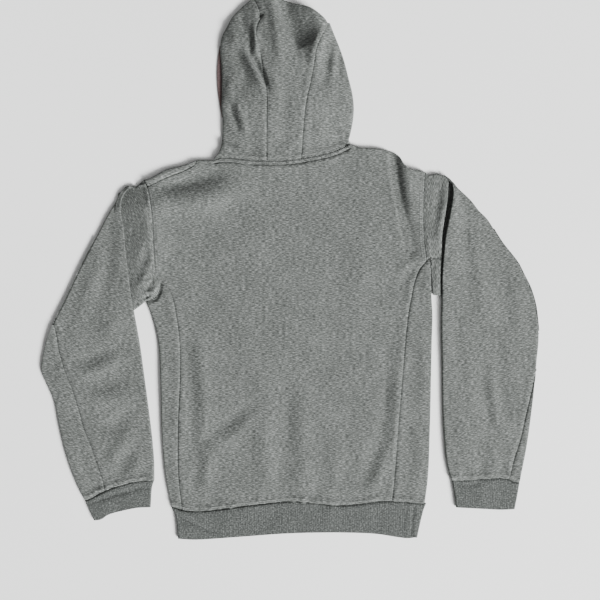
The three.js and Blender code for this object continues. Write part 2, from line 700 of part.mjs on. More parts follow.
// Three pieces: a centre strip that goes over the crown, and two sides that wrap under to the face opening
// and down to the front neckline.
function makeHood(bodyCloth) {
  const above = inside([...neckSeam, { x: FAR, y: FAR }, { x: -FAR, y: FAR }]);
  const raisedNeck = NECK_SEAM.filter((p) => p.x > -128 && p.x < 102).map((p) => ({ x: p.x, y: p.y + 3 }));
  const scoop = inside([...scoopLine, ...reversed(raisedNeck)], UNDER, LOWER_TOP);
  const faceLeft = FACE_OPENING.map((row) => ({ x: FACE_MIDDLE - row.half, y: row.y }));
  const faceRight = FACE_OPENING.map((row) => ({ x: FACE_MIDDLE + row.half, y: row.y }));
  const face = inside([...back(faceLeft), ...along(faceRight)], UNDER, LOWER_TOP);
  const cloth = shell([hoodForm]).intersect(above).add(bodyCloth.intersect(scoop)).subtract(face);

  // Underneath, the sides meet on the middle line below the crown's return, and at the seams above it.
  const returning = (seam) => {
    const above = seam.filter((p) => p.y > CROWN_RETURN);
    return [{ x: above[0].x, y: CROWN_RETURN }, ...above];
  };
  const upper = (outline) => inside(outline, RIM - OVERLAP, SKY);
  const lower = (outline) => inside(outline, UNDER, RIM + OVERLAP);
  const middle = [{ x: FACE_MIDDLE, y: 90 }, { x: FACE_MIDDLE, y: CROWN_RETURN }];
  const sideOf = (seam, away) => {
    const far = [{ x: away, y: FAR }, { x: away, y: 90 }];
    return cloth.intersect(
      upper([down(seam, 90), ...seam, ...far]).add(lower([...middle, ...returning(seam), ...far])),
    );
  };
  const centreTop = upper([down(hoodSeamLeft, 90), ...hoodSeamLeft, ...reversed(hoodSeamRight),
    down(hoodSeamRight, 90)]);
  const centreLow = lower([...returning(hoodSeamLeft), ...reversed(returning(hoodSeamRight))]);
  return {
    hood_left: sideOf(hoodSeamLeft, -FAR),
    hood_right: sideOf(hoodSeamRight, FAR),
    hood_centre: cloth.intersect(centreTop.add(centreLow)),
  };
}

// The hood's lining shows as a thin sliver on the table, just past the hood's left edge.
function makeLining() {
  const edge = smooth(column(HOOD_LEVELS, "edgeLeft", "y"));
  const rows = edge.points(60);
  const edgeAt = (y) => rows.reduce((a, b) => (Math.abs(b.y - y) < Math.abs(a.y - y) ? b : a)).x;
  const inner = LINING_REACH.map((row) => ({ x: edgeAt(row.y), y: row.y }));
  const outer = LINING_REACH.map((row) => ({ x: edgeAt(row.y) - row.out, y: row.y }));
  return { hood_lining_edge: inside([...along(inner), ...back(outer)], 0, LINING) };
}

// ---- the garment ----------------------------------------------------------------------------------------
function meshOf(solid, name, colour) {
  const made = largest(solid.asOriginal().simplify(FACET)).getMesh();
  const geometry = new THREE.BufferGeometry();
  const positions = new Float32Array(made.numVert * 3);
  for (let i = 0; i < made.numVert; i++) {
    const start = i * made.numProp;
    positions.set(made.vertProperties.subarray(start, start + 3), i * 3);
  }
  geometry.setAttribute("position", new THREE.BufferAttribute(positions, 3));
  geometry.setIndex(new THREE.BufferAttribute(new Uint32Array(made.triVerts), 1));
  geometry.computeVertexNormals();
  const mesh = new THREE.Mesh(
    geometry,
    new THREE.MeshStandardMaterial({ color: colour, roughness: 0.95, metalness: 0 }),
  );
  mesh.name = name;
  return mesh;
}

function makeHoodie() {
  const aboveHem = inside([...hemSeam, { x: FAR, y: FAR }, { x: -FAR, y: FAR }]);
  const bodyCloth = shell([bodyForm]).intersect(aboveHem);
  const fleece = {
    ...makePanels(bodyCloth),
    ...makeSidePanels(bodyCloth),
    ...makeSleeves(),
    ...makeHood(bodyCloth),
  };
  const rib = {
    ...makeWaistband(),
    cuff_left: makeCuff(CUFF_LEFT, CUFF_SEAM_LEFT, CUFF_END_LEFT),
    cuff_right: makeCuff(CUFF_RIGHT, CUFF_SEAM_RIGHT, CUFF_END_RIGHT),
  };
  const hoodie = new THREE.Group();
  for (const [name, solid] of Object.entries(fleece)) hoodie.add(meshOf(solid, name, FLEECE_GREY));
  for (const [name, solid] of Object.entries(rib)) hoodie.add(meshOf(solid, name, RIB_GREY));
  for (const [name, solid] of Object.entries(makeLining())) hoodie.add(meshOf(solid, name, LINING_BROWN));

  // The origin is the middle of the garment's footprint, on the table.
  const box = new THREE.Box3().setFromObject(hoodie);
  hoodie.position.set(-(box.min.x + box.max.x) / 2, -(box.min.y + box.max.y) / 2, -box.min.z);
  const group = new THREE.Group();
  group.add(hoodie);
  return group;
}

export default makeHoodie();
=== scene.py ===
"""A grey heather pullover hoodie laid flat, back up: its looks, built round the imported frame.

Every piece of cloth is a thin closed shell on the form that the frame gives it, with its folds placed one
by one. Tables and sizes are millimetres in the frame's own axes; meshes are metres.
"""

from __future__ import annotations

import logging
import math
from dataclasses import dataclass
from enum import Enum
from typing import Callable, Sequence

import bpy
import numpy as np
from mathutils import Matrix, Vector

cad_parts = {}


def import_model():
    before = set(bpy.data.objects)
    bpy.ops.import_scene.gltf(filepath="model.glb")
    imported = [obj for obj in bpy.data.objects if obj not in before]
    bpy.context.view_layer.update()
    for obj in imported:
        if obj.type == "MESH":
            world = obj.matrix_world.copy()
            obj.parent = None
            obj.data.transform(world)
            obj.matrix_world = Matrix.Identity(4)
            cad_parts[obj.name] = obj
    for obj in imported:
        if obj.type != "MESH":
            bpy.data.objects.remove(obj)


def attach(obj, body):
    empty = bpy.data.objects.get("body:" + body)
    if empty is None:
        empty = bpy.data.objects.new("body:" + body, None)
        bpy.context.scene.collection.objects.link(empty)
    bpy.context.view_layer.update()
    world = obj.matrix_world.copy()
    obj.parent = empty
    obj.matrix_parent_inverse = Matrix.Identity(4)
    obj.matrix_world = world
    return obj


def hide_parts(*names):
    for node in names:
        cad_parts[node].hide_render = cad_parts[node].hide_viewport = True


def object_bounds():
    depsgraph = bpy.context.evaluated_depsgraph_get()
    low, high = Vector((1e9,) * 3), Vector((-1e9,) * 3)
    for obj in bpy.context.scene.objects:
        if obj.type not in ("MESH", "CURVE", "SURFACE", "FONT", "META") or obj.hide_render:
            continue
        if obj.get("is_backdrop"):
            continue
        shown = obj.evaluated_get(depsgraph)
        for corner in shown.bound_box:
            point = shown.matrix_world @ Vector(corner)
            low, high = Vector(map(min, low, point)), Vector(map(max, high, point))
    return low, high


log = logging.getLogger("hoodie")

MM = 0.001
Row = tuple[float, float]
Place = tuple[float, float, float]
Array = np.ndarray
Height = Callable[[Array], Array]


class Side(Enum):
    """The two sides of the garment, as it lies."""

    LEFT = "left"
    RIGHT = "right"


class Finish(Enum):
    """The finishes that a piece can have."""

    FLEECE = "fleece"
    RIB = "rib"
    LINING = "lining"


# ---- sizes of the cloth ----------------------------------------------------------------------------------
FLAT = 6.0  # two layers lying on each other
RIM = 3.2  # radius of a fold at a free edge
WALL = 1.8  # fleece
SEWN = 1.9  # radius at which a panel rolls down into a seam
PRESSED = 3.4  # two layers pressed on each other
KNEE = 0.6  # over this height the cloth settles on them
RIB_FLAT = 6.6  # two double layers of rib lying on each other
RIB_WALL = 2.3  # rib
TUCK = 12.0  # how far a turned edge runs on underneath
BACK_TUCK = 14.0  # and how far the back panel's does
SEAM_SLACK = (1.0, 6.0)  # between these distances from a seam's end, its small roll becomes a free edge's

# ---- spacing of the points -------------------------------------------------------------------------------
TURN_STEPS = 7  # rows of points round a quarter of a fold
FINE = (0.0, 0.7, 1.5, 2.6, 4.0, 5.3, 6.4, 7.5, 9.2)  # rows beside a seam or an edge
KEPT = 5  # a roll takes the place of this many rows
STEP = 3.0  # even spacing of points where the cloth shows
RING_STEP = 2.2  # and on the bands
HEAD_STEP = 1.8  # and on the sleeve heads
HOOD_STEP = 2.7  # and on the hood
HIDDEN_STEP = 15.0  # and where it lies underneath
SHORT_ROWS = 15  # rows of points over a form too narrow for the spacing above
ROLL_SHARE = 0.85  # a roll takes up at most this share of the rows in whose place it stands
UNDER_SHARE = 0.8  # the cloth underneath reaches at most this far across
PAST_ROLL = 1.05  # and at least this many radii from the edge
RIM_CLEAR = 0.4  # how far a band's even rows stay clear of its folds
PART_POINTS = 120  # points that stand for a stretch of a curve
BESIDE_POINTS = 160  # and for one beside it
BARE_PIECES = 90  # straight pieces that stand for a sleeve's rounded edge
FOLD_SAMPLES, FOLD_PIECES = 8, 14  # points and straight pieces that stand for a fold's path
NOTHING = 1e-6  # the least length that anything is divided by


# ---- curves ----------------------------------------------------------------------------------------------
class Curve:
    """A smooth curve through a few points, walked by share of its length."""

    def __init__(self, rows: Sequence[Row], samples: int = 20) -> None:
        """Fits a centripetal Catmull-Rom curve.

        Args:
            rows: the points, in millimetres.
            samples: how many points stand for each stretch.
        """
        p = np.array(rows, float)
        p = np.vstack([2 * p[0] - p[1], p, 2 * p[-1] - p[-2]])
        t = np.linspace(0, 1, samples, endpoint=False)[:, None]
        parts = []
        for a, b, c, d in zip(p, p[1:], p[2:], p[3:]):
            ab, bc, cd = (max(np.linalg.norm(v) ** 0.5, NOTHING) for v in (b - a, c - b, d - c))
            out = ((b - a) / ab - (c - a) / (ab + bc) + (c - b) / bc) * bc
            into = ((c - b) / bc - (d - b) / (bc + cd) + (d - c) / cd) * bc
            parts.append(
                (2 * t**3 - 3 * t**2 + 1) * b
                + (t**3 - 2 * t**2 + t) * out
                + (3 * t**2 - 2 * t**3) * c
                + (t**3 - t**2) * into
            )
        self.take(np.vstack([*parts, p[-2][None]]))

    @classmethod
    def through(cls, line: Array) -> "Curve":
        """Makes a curve that runs straight from point to point.

        Args:
            line: the points, one a row.

        Returns:
            The curve.
        """
        made = cls.__new__(cls)
        made.take(line)
        return made

    def take(self, line: Array) -> None:
        """Takes a line of points as this curve, and measures along it.

        Args:
            line: the points, one a row.
        """
        self.line = line
        steps = np.linalg.norm(np.diff(line, axis=0), axis=1)
        self.along = np.concatenate([[0.0], np.cumsum(steps)])
        self.length = float(self.along[-1])

    def at(self, share: Array | float) -> Array:
        """Places at these shares of the length, as an array with x and y last."""
        s = np.clip(np.asarray(share, float), 0, 1) * self.length
        return np.stack([np.interp(s, self.along, self.line[:, k]) for k in (0, 1)], -1)

    def share_near(self, x: float, y: float) -> float:
        """The share of the length that is nearest to a place."""
        away = np.hypot(self.line[:, 0] - x, self.line[:, 1] - y)
        return float(self.along[int(away.argmin())] / self.length)

    def part(self, start: Row, end: Row) -> "Curve":
        """The stretch between the places nearest to two points, in that order."""
        a, b = self.share_near(*start), self.share_near(*end)
        return Curve.through(self.at(np.linspace(a, b, PART_POINTS)))

    def moved(self, x: float, y: float) -> "Curve":
        """The same curve moved."""
        return Curve.through(self.line + np.array([x, y]))

    def beside(self, off: float) -> "Curve":
        """A curve that runs beside this one.

        Args:
            off: how far to the left of the way it runs.

        Returns:
            The new curve.
        """
        line = self.at(np.linspace(0, 1, BESIDE_POINTS))
        way = np.gradient(line, axis=0)
        way /= np.linalg.norm(way, axis=1, keepdims=True)
        return Curve.through(line + off * np.stack([-way[:, 1], way[:, 0]], 1))

    def away(self, xy: Array, pieces: int = 48) -> tuple[Array, Array, Array]:
        """How far places lie from the curve.

        Args:
            xy: places, with x and y last.
            pieces: how many straight pieces stand for the curve.

        Returns:
            The distance, the side (1 to the left of the way it runs, -1 to the right), and the share of the
            length at the nearest place.
        """
        flat = xy.reshape(-1, 2)
        nodes = self.at(np.linspace(0, 1, pieces + 1))
        best = np.full(len(flat), np.inf)
        side, share = np.zeros(len(flat)), np.zeros(len(flat))
        for i in range(pieces):
            a, d = nodes[i], nodes[i + 1] - nodes[i]
            rel = flat - a
            t = np.clip(rel @ d / max(d @ d, 1e-12), 0, 1)
            off = rel - t[:, None] * d
            far = np.hypot(off[:, 0], off[:, 1])
            nearer = far < best
            best[nearer] = far[nearer]
            side[nearer] = np.sign(d[0] * rel[nearer, 1] - d[1] * rel[nearer, 0])
            share[nearer] = (i + t[nearer]) / pieces
        shape = xy.shape[:-1]
        return best.reshape(shape), side.reshape(shape), share.reshape(shape)


def joined(*curves: Curve) -> Curve:
    """One curve that runs along several, with the corners between them kept."""
    return Curve.through(np.vstack([c.line for c in curves]))


def straight(start: Row, end: Row) -> Curve:
    """A straight line as a curve."""
    return Curve([start, end])


def smoothstep(value: Array | float, low: float, high: float) -> Array:
    """0 below low, 1 above high, and a soft rise between."""
    t = np.clip((np.asarray(value, float) - low) / (high - low), 0, 1)
    return t * t * (3 - 2 * t)


def spaced(length: float, step: float = STEP) -> Array:
    """Spaces points over a length: close at both ends, even between.

    Args:
        length: the length, in millimetres.
        step: the even spacing.

    Returns:
        The share of the length at which each point lies.
    """
    if length <= 2 * FINE[-1] + step:
        return np.linspace(0, 1, SHORT_ROWS)
    count = max(int((length - 2 * FINE[-1]) / step), 2) + 1
    middle = np.linspace(FINE[-1], length - FINE[-1], count)
    ends = np.array(FINE[:-1])
    return np.concatenate([ends, middle, length - ends[::-1]]) / length


# ---- relief: how high the cloth stands -------------------------------------------------------------------
@dataclass(frozen=True)
class Fold:
    """A soft ridge or trough along a drawn path, which fades towards its ends."""

    path: tuple[Row, ...]
    half: float  # how far its flank reaches
    high: float  # its height, or its depth where this is negative
    lean: float = 0.0  # above 0 the flank to the left of the path's way is gentle, and the other steep
    fade: float = 0.7  # the share of its height that it loses at its ends

    def lift(self, xy: Array) -> Array:
        """Works out how much it lifts the cloth.

        Args:
            xy: places, with x and y last.

        Returns:
            The lift at each place.
        """
        away, side, share = Curve(self.path, FOLD_SAMPLES).away(xy, FOLD_PIECES)
        half = self.half * (1 + self.lean * side)
        full = 1 - self.fade * np.abs(2 * share - 1) ** 3
        return self.high * full * np.exp(-((away / half) ** 2))


class Crinkle:
    """Smooth random hollows and rises of one size, the same in each run."""

    cells = 96  # after this many the surface repeats
    start = 5000.0  # moves every place on the garment to where both coordinates are positive

    def __init__(self, size: float, seed: int) -> None:
        """Draws the grid of heights that the surface runs through."""
        self.size = size
        self.grid = np.random.default_rng(seed).uniform(-1, 1, (self.cells + 1, self.cells + 1))

    def at(self, xy: Array) -> Array:
        """Finds the surface's heights.

        Args:
            xy: places, with x and y last.

        Returns:
            Heights from -1 to 1.
        """
        q = (xy + self.start) / self.size
        cell = np.floor(q).astype(int)
        t = q - cell
        t = t * t * (3 - 2 * t)
        i, j = cell[..., 0] % self.cells, cell[..., 1] % self.cells
        g = self.grid
        low = g[i, j] * (1 - t[..., 0]) + g[i + 1, j] * t[..., 0]
        high = g[i, j + 1] * (1 - t[..., 0]) + g[i + 1, j + 1] * t[..., 0]
        return low * (1 - t[..., 1]) + high * t[..., 1]


BROAD, SMALL, TINY = Crinkle(61, 11), Crinkle(24, 12), Crinkle(9, 13)


@dataclass(frozen=True)
class Seam:
    """How a seam draws the cloth in: a groove, a soft swelling beside it, and small puckers across it."""

    line: Curve
    deep: float = 0.8  # depth of the groove
    puff: float = 0.7  # height of the swelling
    pucker: float = 0.45  # height of the puckers
    groove_half: float = 1.5
    puff_away: float = 7.0  # how far from the seam the swelling is highest
    puff_half: float = 4.0
    pucker_half: float = 11.0
    pucker_finer: float = 2.7  # how much smaller the puckers are than the small waves

    def lift(self, xy: Array) -> Array:
        """Works out how much it lifts the cloth.

        Args:
            xy: places, with x and y last.

        Returns:
            The lift at each place.
        """
        away, _, _ = self.line.away(xy)
        groove = self.deep * np.exp(-((away / self.groove_half) ** 2))
        swelling = self.puff * np.exp(-(((away - self.puff_away) / self.puff_half) ** 2))
        puckers = self.pucker * np.exp(-((away / self.pucker_half) ** 2)) * SMALL.at(xy * self.pucker_finer)
        return swelling - groove + puckers


@dataclass(frozen=True)
class Relief:
    """The height of a top layer: a base, soft folds, its seams, and the waviness of fleece."""

    base: Height
    folds: Sequence[Fold] = ()
    seams: Sequence[Seam] = ()
    waves: float = 0.3  # height of the broad waves, with half as much of the small ones
    fuzz: float = 0.09  # height of the tiny ones

    def height(self, xy: Array) -> Array:
        """Works out how high the cloth stands; it never sinks below two layers pressed on each other.

        Args:
            xy: places, with x and y last.

        Returns:
            The height at each place.
        """
        z = self.base(xy) + self.waves * (BROAD.at(xy) + 0.5 * SMALL.at(xy)) + self.fuzz * TINY.at(xy)
        for part in (*self.folds, *self.seams):
            z = z + part.lift(xy)
        return PRESSED + KNEE * np.logaddexp(0.0, (z - PRESSED) / KNEE)


# ---- grids of points -------------------------------------------------------------------------------------
@dataclass(frozen=True)
class Grid:
    """Rows and columns of points on the outer face, and the same points on the flat cut cloth."""

    points: Array
    cloth: Array
    closed: bool = False  # whether the last column joins the first

    def flipped(self) -> "Grid":
        """The same grid with its last row first."""
        return Grid(self.points[::-1], self.cloth[::-1], self.closed)

    def turned(self, degrees: float) -> "Grid":
        """Turns the knit's courses.

        Args:
            degrees: by how much.

        Returns:
            The same grid with its flat cloth turned.
        """
        c, s = math.cos(math.radians(degrees)), math.sin(math.radians(degrees))
        x, y = self.cloth[..., 0], self.cloth[..., 1]
        return Grid(self.points, np.stack([x * c + y * s, y * c - x * s], -1), self.closed)

    def normals(self) -> Array:
        """Works out the normals.

        Returns:
            A unit normal for each point.
        """
        down = np.gradient(self.points, axis=0)
        if self.closed:
            over = np.roll(self.points, -1, 1) - np.roll(self.points, 1, 1)
        else:
            over = np.gradient(self.points, axis=1)
        n = np.cross(over, down)
        return n / np.maximum(np.linalg.norm(n, axis=-1, keepdims=True), 1e-9)

    def outward(self, inside: float = RIM) -> "Grid":
        """Makes the grid face out of its form.

        Args:
            inside: a height inside the form: what lies above it faces up, and what lies below faces down.

        Returns:
            The same grid, with its columns turned round if its normals pointed inwards.
        """
        if (self.normals()[..., 2] * (self.points[..., 2] - inside)).sum() >= 0:
            return self
        return Grid(self.points[:, ::-1], self.cloth[:, ::-1], self.closed)


def patch(left: Curve, right: Curve, low: Curve, high: Curve, us: Array, vs: Array) -> Array:
    """Places over a four-sided outline, blended from its sides.

    Args:
        left: side from low's start to high's start.
        right: side from low's end to high's end.
        low: first row.
        high: last row.
        us: shares along low and high.
        vs: shares from low to high.

    Returns:
        The places in rows from low to high.
    """
    u, v = us[None, :, None], vs[:, None, None]
    sides = (1 - u) * left.at(vs)[:, None] + u * right.at(vs)[:, None]
    ends = (1 - v) * low.at(us)[None] + v * high.at(us)[None]
    a, b, c, d = low.at(0.0), low.at(1.0), high.at(0.0), high.at(1.0)
    corners = (1 - v) * ((1 - u) * a + u * b) + v * ((1 - u) * c + u * d)
    return sides + ends - corners


def top_grid(left: Curve, right: Curve, low: Curve, high: Curve, height: Height, step: float = STEP) -> Grid:
    """A layer of cloth over a four-sided outline.

    Args:
        left: side from low's start to high's start.
        right: side from low's end to high's end.
        low: first row.
        high: last row.
        height: how high the layer stands.
        step: even spacing of its points.

    Returns:
        Its grid.
    """
    across = spaced(max(low.length, high.length), step)
    upwards = spaced(max(left.length, right.length), step)
    xy = patch(left, right, low, high, across, upwards)
    return Grid(np.concatenate([xy, height(xy)[..., None]], -1), xy)


def rolled(
    grid: Grid, under: Array | float, radius: Array | float = RIM, floor: Array | float = 0.0
) -> Grid:
    """Rolls a grid round its last row, which lies on an edge, and takes it back underneath.

    Args:
        grid: the top layer.
        under: where the cloth ends underneath: one place for each column, or a distance from the edge.
        radius: radius of the roll, or one for each column.
        floor: height of the cloth underneath, or one for each column.

    Returns:
        The grid with the roll and the cloth underneath after its last rows.
    """
    p, c, keep = grid.points, grid.cloth, KEPT
    edge, kept = p[-1, :, :2], p[-keep, :, :2]
    reach = np.linalg.norm(kept - edge, axis=1)
    way = (kept - edge) / np.maximum(reach, NOTHING)[:, None]
    r = np.minimum(np.broadcast_to(radius, reach.shape), ROLL_SHARE * reach)
    arc = r * math.pi / 2
    turn = np.linspace(1, 0, TURN_STEPS)[:, None]
    inwards = r * (1 - np.cos(turn * math.pi / 2))
    z_edge, z_kept = p[-1, :, 2], p[-keep, :, 2]
    top = z_edge + (z_kept - z_edge) * inwards / np.maximum(reach, NOTHING)
    low = np.maximum(np.broadcast_to(floor, reach.shape), 0.0)
    middle = low + np.minimum(RIM, (z_edge - low) / 2)
    full = np.sin(turn * math.pi / 2)
    places = edge + way * inwards[..., None]
    upper = np.concatenate([places, (middle + (top - middle) * full)[..., None]], -1)
    flat_way = (c[-keep] - c[-1]) / np.maximum(reach, NOTHING)[:, None]
    flat_upper = c[-1] + flat_way * (arc * turn - arc + r)[..., None]

    lower = np.concatenate([places, (middle - (middle - low) * full)[..., None]], -1)[::-1][1:]
    flat_lower = (c[-1] - flat_way * (arc * turn + arc - r)[..., None])[::-1][1:]
    start = lower[-1, :, :2]
    if np.ndim(under) == 0:
        wide = np.linalg.norm(p[0, :, :2] - edge, axis=1)
        target = edge + way * np.maximum(np.minimum(under, UNDER_SHARE * wide), PAST_ROLL * r)[:, None]
    else:
        target = under
    far = np.linalg.norm(target - start, axis=1)
    steps = np.linspace(0, 1, max(int(np.median(far) / HIDDEN_STEP), 2) + 1)[1:, None]
    places = start + (target - start) * steps[..., None]
    back = np.concatenate([places, np.broadcast_to(low, places.shape[:2])[..., None]], -1)
    flat_back = flat_lower[-1] - flat_way * (far * steps)[..., None]
    points = np.concatenate([p[:-keep], upper, lower, back])
    return Grid(points, np.concatenate([c[:-keep], flat_upper, flat_lower, flat_back]))


def ring(left: Curve, right: Curve, low: Curve, high: Curve, height: Height, lower_high: Curve) -> Grid:
    """A flattened tube, open at its first and last rows.

    Args:
        left: its left free edge, from low to high.
        right: its right free edge.
        low: its first row on top.
        high: its last row on top.
        height: how high the top layer stands.
        lower_high: its last row underneath.

    Returns:
        Its closed grid.
    """
    us, vs = spaced(low.length), spaced(max(left.length, right.length), RING_STEP)
    width = (low.length + high.length) / 2
    turn = np.linspace(0, 1, TURN_STEPS) * math.pi / 2
    rim = RIM * (1 - np.cos(turn)) / width
    clear = RIM + RIM_CLEAR
    inner = us[(us * width > clear) & ((1 - us) * width > clear)]
    across = np.concatenate([rim, inner, 1 - rim[::-1]])
    full = np.concatenate([np.sin(turn), np.ones(len(inner)), np.sin(turn[::-1])])
    xy = patch(left, right, low, high, across, vs)
    z = RIM + (height(xy) - RIM) * full
    beneath = patch(left, right, low, lower_high, across[::-1], vs)[:, 1:-1]
    low_z = np.broadcast_to(RIM * (1 - full[::-1])[1:-1], beneath.shape[:2])
    upper = np.concatenate([xy, z[..., None]], -1)
    under = np.concatenate([beneath, low_z[..., None]], -1)
    flat_under = beneath * np.array([-1.0, 1.0]) + np.array([2 * xy[0, -1, 0], 0.0])
    points = np.concatenate([upper, under], 1)
    grid = Grid(points, np.concatenate([xy, flat_under], 1), True)
    if grid.normals()[3, len(rim) + 3, 2] < 0:
        return grid.flipped()
    return grid


def in_scene(name: str, data: bpy.types.ID) -> bpy.types.Object:
    """Puts a new object into the scene.

    Args:
        name: its name.
        data: its mesh, light or camera.

    Returns:
        The object.
    """
    made = bpy.data.objects.new(name, data)
    bpy.context.scene.collection.objects.link(made)
    return made


def make_cloth(name: str, grids: Sequence[Grid], wall: float = WALL) -> bpy.types.Object:
    """One piece of cloth: each grid becomes a closed shell, its wall's thickness inwards.

    Args:
        name: the piece's name.
        grids: its grids, with normals outwards.
        wall: the cloth's thickness.

    Returns:
        The piece, with its flat cloth as the UV map.
    """
    verts, faces, coords, start = [], [], [], 0
    for grid in grids:
        p, closed = grid.points, grid.closed
        inner = p - grid.normals() * wall
        inner[..., 2] = np.maximum(inner[..., 2], 0.0)
        rows, cols = p.shape[:2]
        index = np.arange(rows * cols).reshape(rows, cols) + start
        under = index + rows * cols
        if closed:
            index, under = (np.concatenate([k, k[:, :1]], 1) for k in (index, under))
        a, b, c, d = index[:-1, :-1], index[:-1, 1:], index[1:, 1:], index[1:, :-1]
        faces.append(np.stack([a, b, c, d], -1).reshape(-1, 4))
        a, b, c, d = under[:-1, :-1], under[1:, :-1], under[1:, 1:], under[:-1, 1:]
        faces.append(np.stack([a, b, c, d], -1).reshape(-1, 4))
        rims = [(index[0], under[0]), (index[-1, ::-1], under[-1, ::-1])]
        if not closed:
            rims += [(index[::-1, 0], under[::-1, 0]), (index[:, -1], under[:, -1])]
        for out, into in rims:
            faces.append(np.stack([out[1:], out[:-1], into[:-1], into[1:]], -1))
        verts += [p.reshape(-1, 3), inner.reshape(-1, 3)]
        coords += [grid.cloth.reshape(-1, 2)] * 2
        start += 2 * rows * cols
    cloth = np.vstack(coords) * MM
    mesh = bpy.data.meshes.new(name)
    mesh.from_pydata((np.vstack(verts) * MM).tolist(), [], np.vstack(faces).tolist())
    mesh.polygons.foreach_set("use_smooth", np.ones(len(mesh.polygons), bool))
    uv = mesh.uv_layers.new(name="Cloth")
    loops = np.zeros(len(mesh.loops), np.int32)
    mesh.loops.foreach_get("vertex_index", loops)
    uv.data.foreach_set("uv", cloth[loops].reshape(-1))
    mesh.update()
    return in_scene(name, mesh)


# ---- lines of the garment, left to right and from the hem up ---------------------------------------------
HEM_SEAM = Curve([(-221, -444), (-200, -451), (-164, -453), (-61, -441), (9, -435), (95, -443), (177, -435),
                  (254, -439)])
SIDE_SEAM_LEFT = Curve([(-200, -452), (-207, -389), (-208, -307), (-204, -197), (-205, -136), (-211, -90),
                        (-218, -56), (-227, -38), (-240, -30)])
SIDE_SEAM_RIGHT = Curve([(189, -437), (194, -389), (200, -307), (209, -197), (214, -136), (219, -90),
                         (225, -56), (232, -24), (241, -3), (253, 11)])
EDGE_LEFT = Curve([(-219, -446), (-231, -389), (-238, -307), (-241, -197), (-245, -136), (-256, -90),
                   (-267, -63)])
EDGE_RIGHT = Curve([(252, -439), (258, -389), (261, -307), (263, -197), (264, -136), (265, -90), (263, -56),
                    (262, -20), (262, 8)])
ARMHOLE_LEFT = Curve([(-240, -30), (-247, -20), (-251, 20), (-255, 98), (-262, 140), (-271, 162)])
ARMHOLE_RIGHT = Curve([(253, 11), (248, 55), (247, 120), (250, 176)])
UNDERARM_LEFT = Curve([(-240, -30), (-242, -43), (-249, -56), (-260, -62), (-267, -64)])
UNDERARM_RIGHT = Curve([(253, 11), (262, 8)])
SHOULDER_SEAM_LEFT = Curve([(-263, 149), (-226, 167), (-200, 177), (-176, 190), (-170, 198)])
SHOULDER_EDGE_LEFT = Curve([(-271, 162), (-262, 164), (-227, 182), (-197, 189), (-172, 198.5)])
NECK_EDGE_LEFT = Curve([(-170, 199), (-155, 199), (-143, 199)])
NECK_SEAM = Curve([(-143, 199), (-126, 201), (-109, 200.9), (-82, 197.2), (-41, 195.7), (-6, 196.4),
                   (22, 199.8), (50, 205.2), (79, 212), (98, 219.5), (112, 227)])
SHOULDER_EDGE_RIGHT = Curve([(112, 227), (121, 225), (132, 221.5), (163, 220), (180, 216), (195, 211),
                             (204, 204), (211, 192), (222, 182), (241, 179), (250, 176)])
NECK_BAND = NECK_SEAM.moved(0, -6.4)
NECK_SCOOP = Curve([(-118, 196), (-104, 158), (-62, 133), (-10, 124), (42, 140), (84, 176), (100, 214)])


@dataclass(frozen=True)
class Neck:
    """How the torso rises to the hood, and the tape that is stitched over the neck seam."""

    middle: Row = (-15.0, 205.0)
    wide: float = 130.0
    deep: float = 55.0
    rise: float = 5.0  # how far the cloth stands up at the middle
    tape_line: Curve = NECK_SEAM.moved(0, -3.2)
    tape_high: float = 2.8
    tape_half: float = 2.7

    def torso(self, xy: Array) -> Array:
        """The height of two flat layers, raised towards the neck."""
        away = np.hypot((xy[..., 0] - self.middle[0]) / self.wide, (xy[..., 1] - self.middle[1]) / self.deep)
        return FLAT + self.rise * np.exp(-(away**2))

    def tape(self, xy: Array) -> Array:
        """The height of the tape: flat on top, with steep sides."""
        away, _, _ = self.tape_line.away(xy)
        return self.tape_high * np.exp(-((away / self.tape_half) ** 6))

    def height(self, xy: Array) -> Array:
        """The height of the torso with its tape."""
        return self.torso(xy) + self.tape(xy)


NECK = Neck()


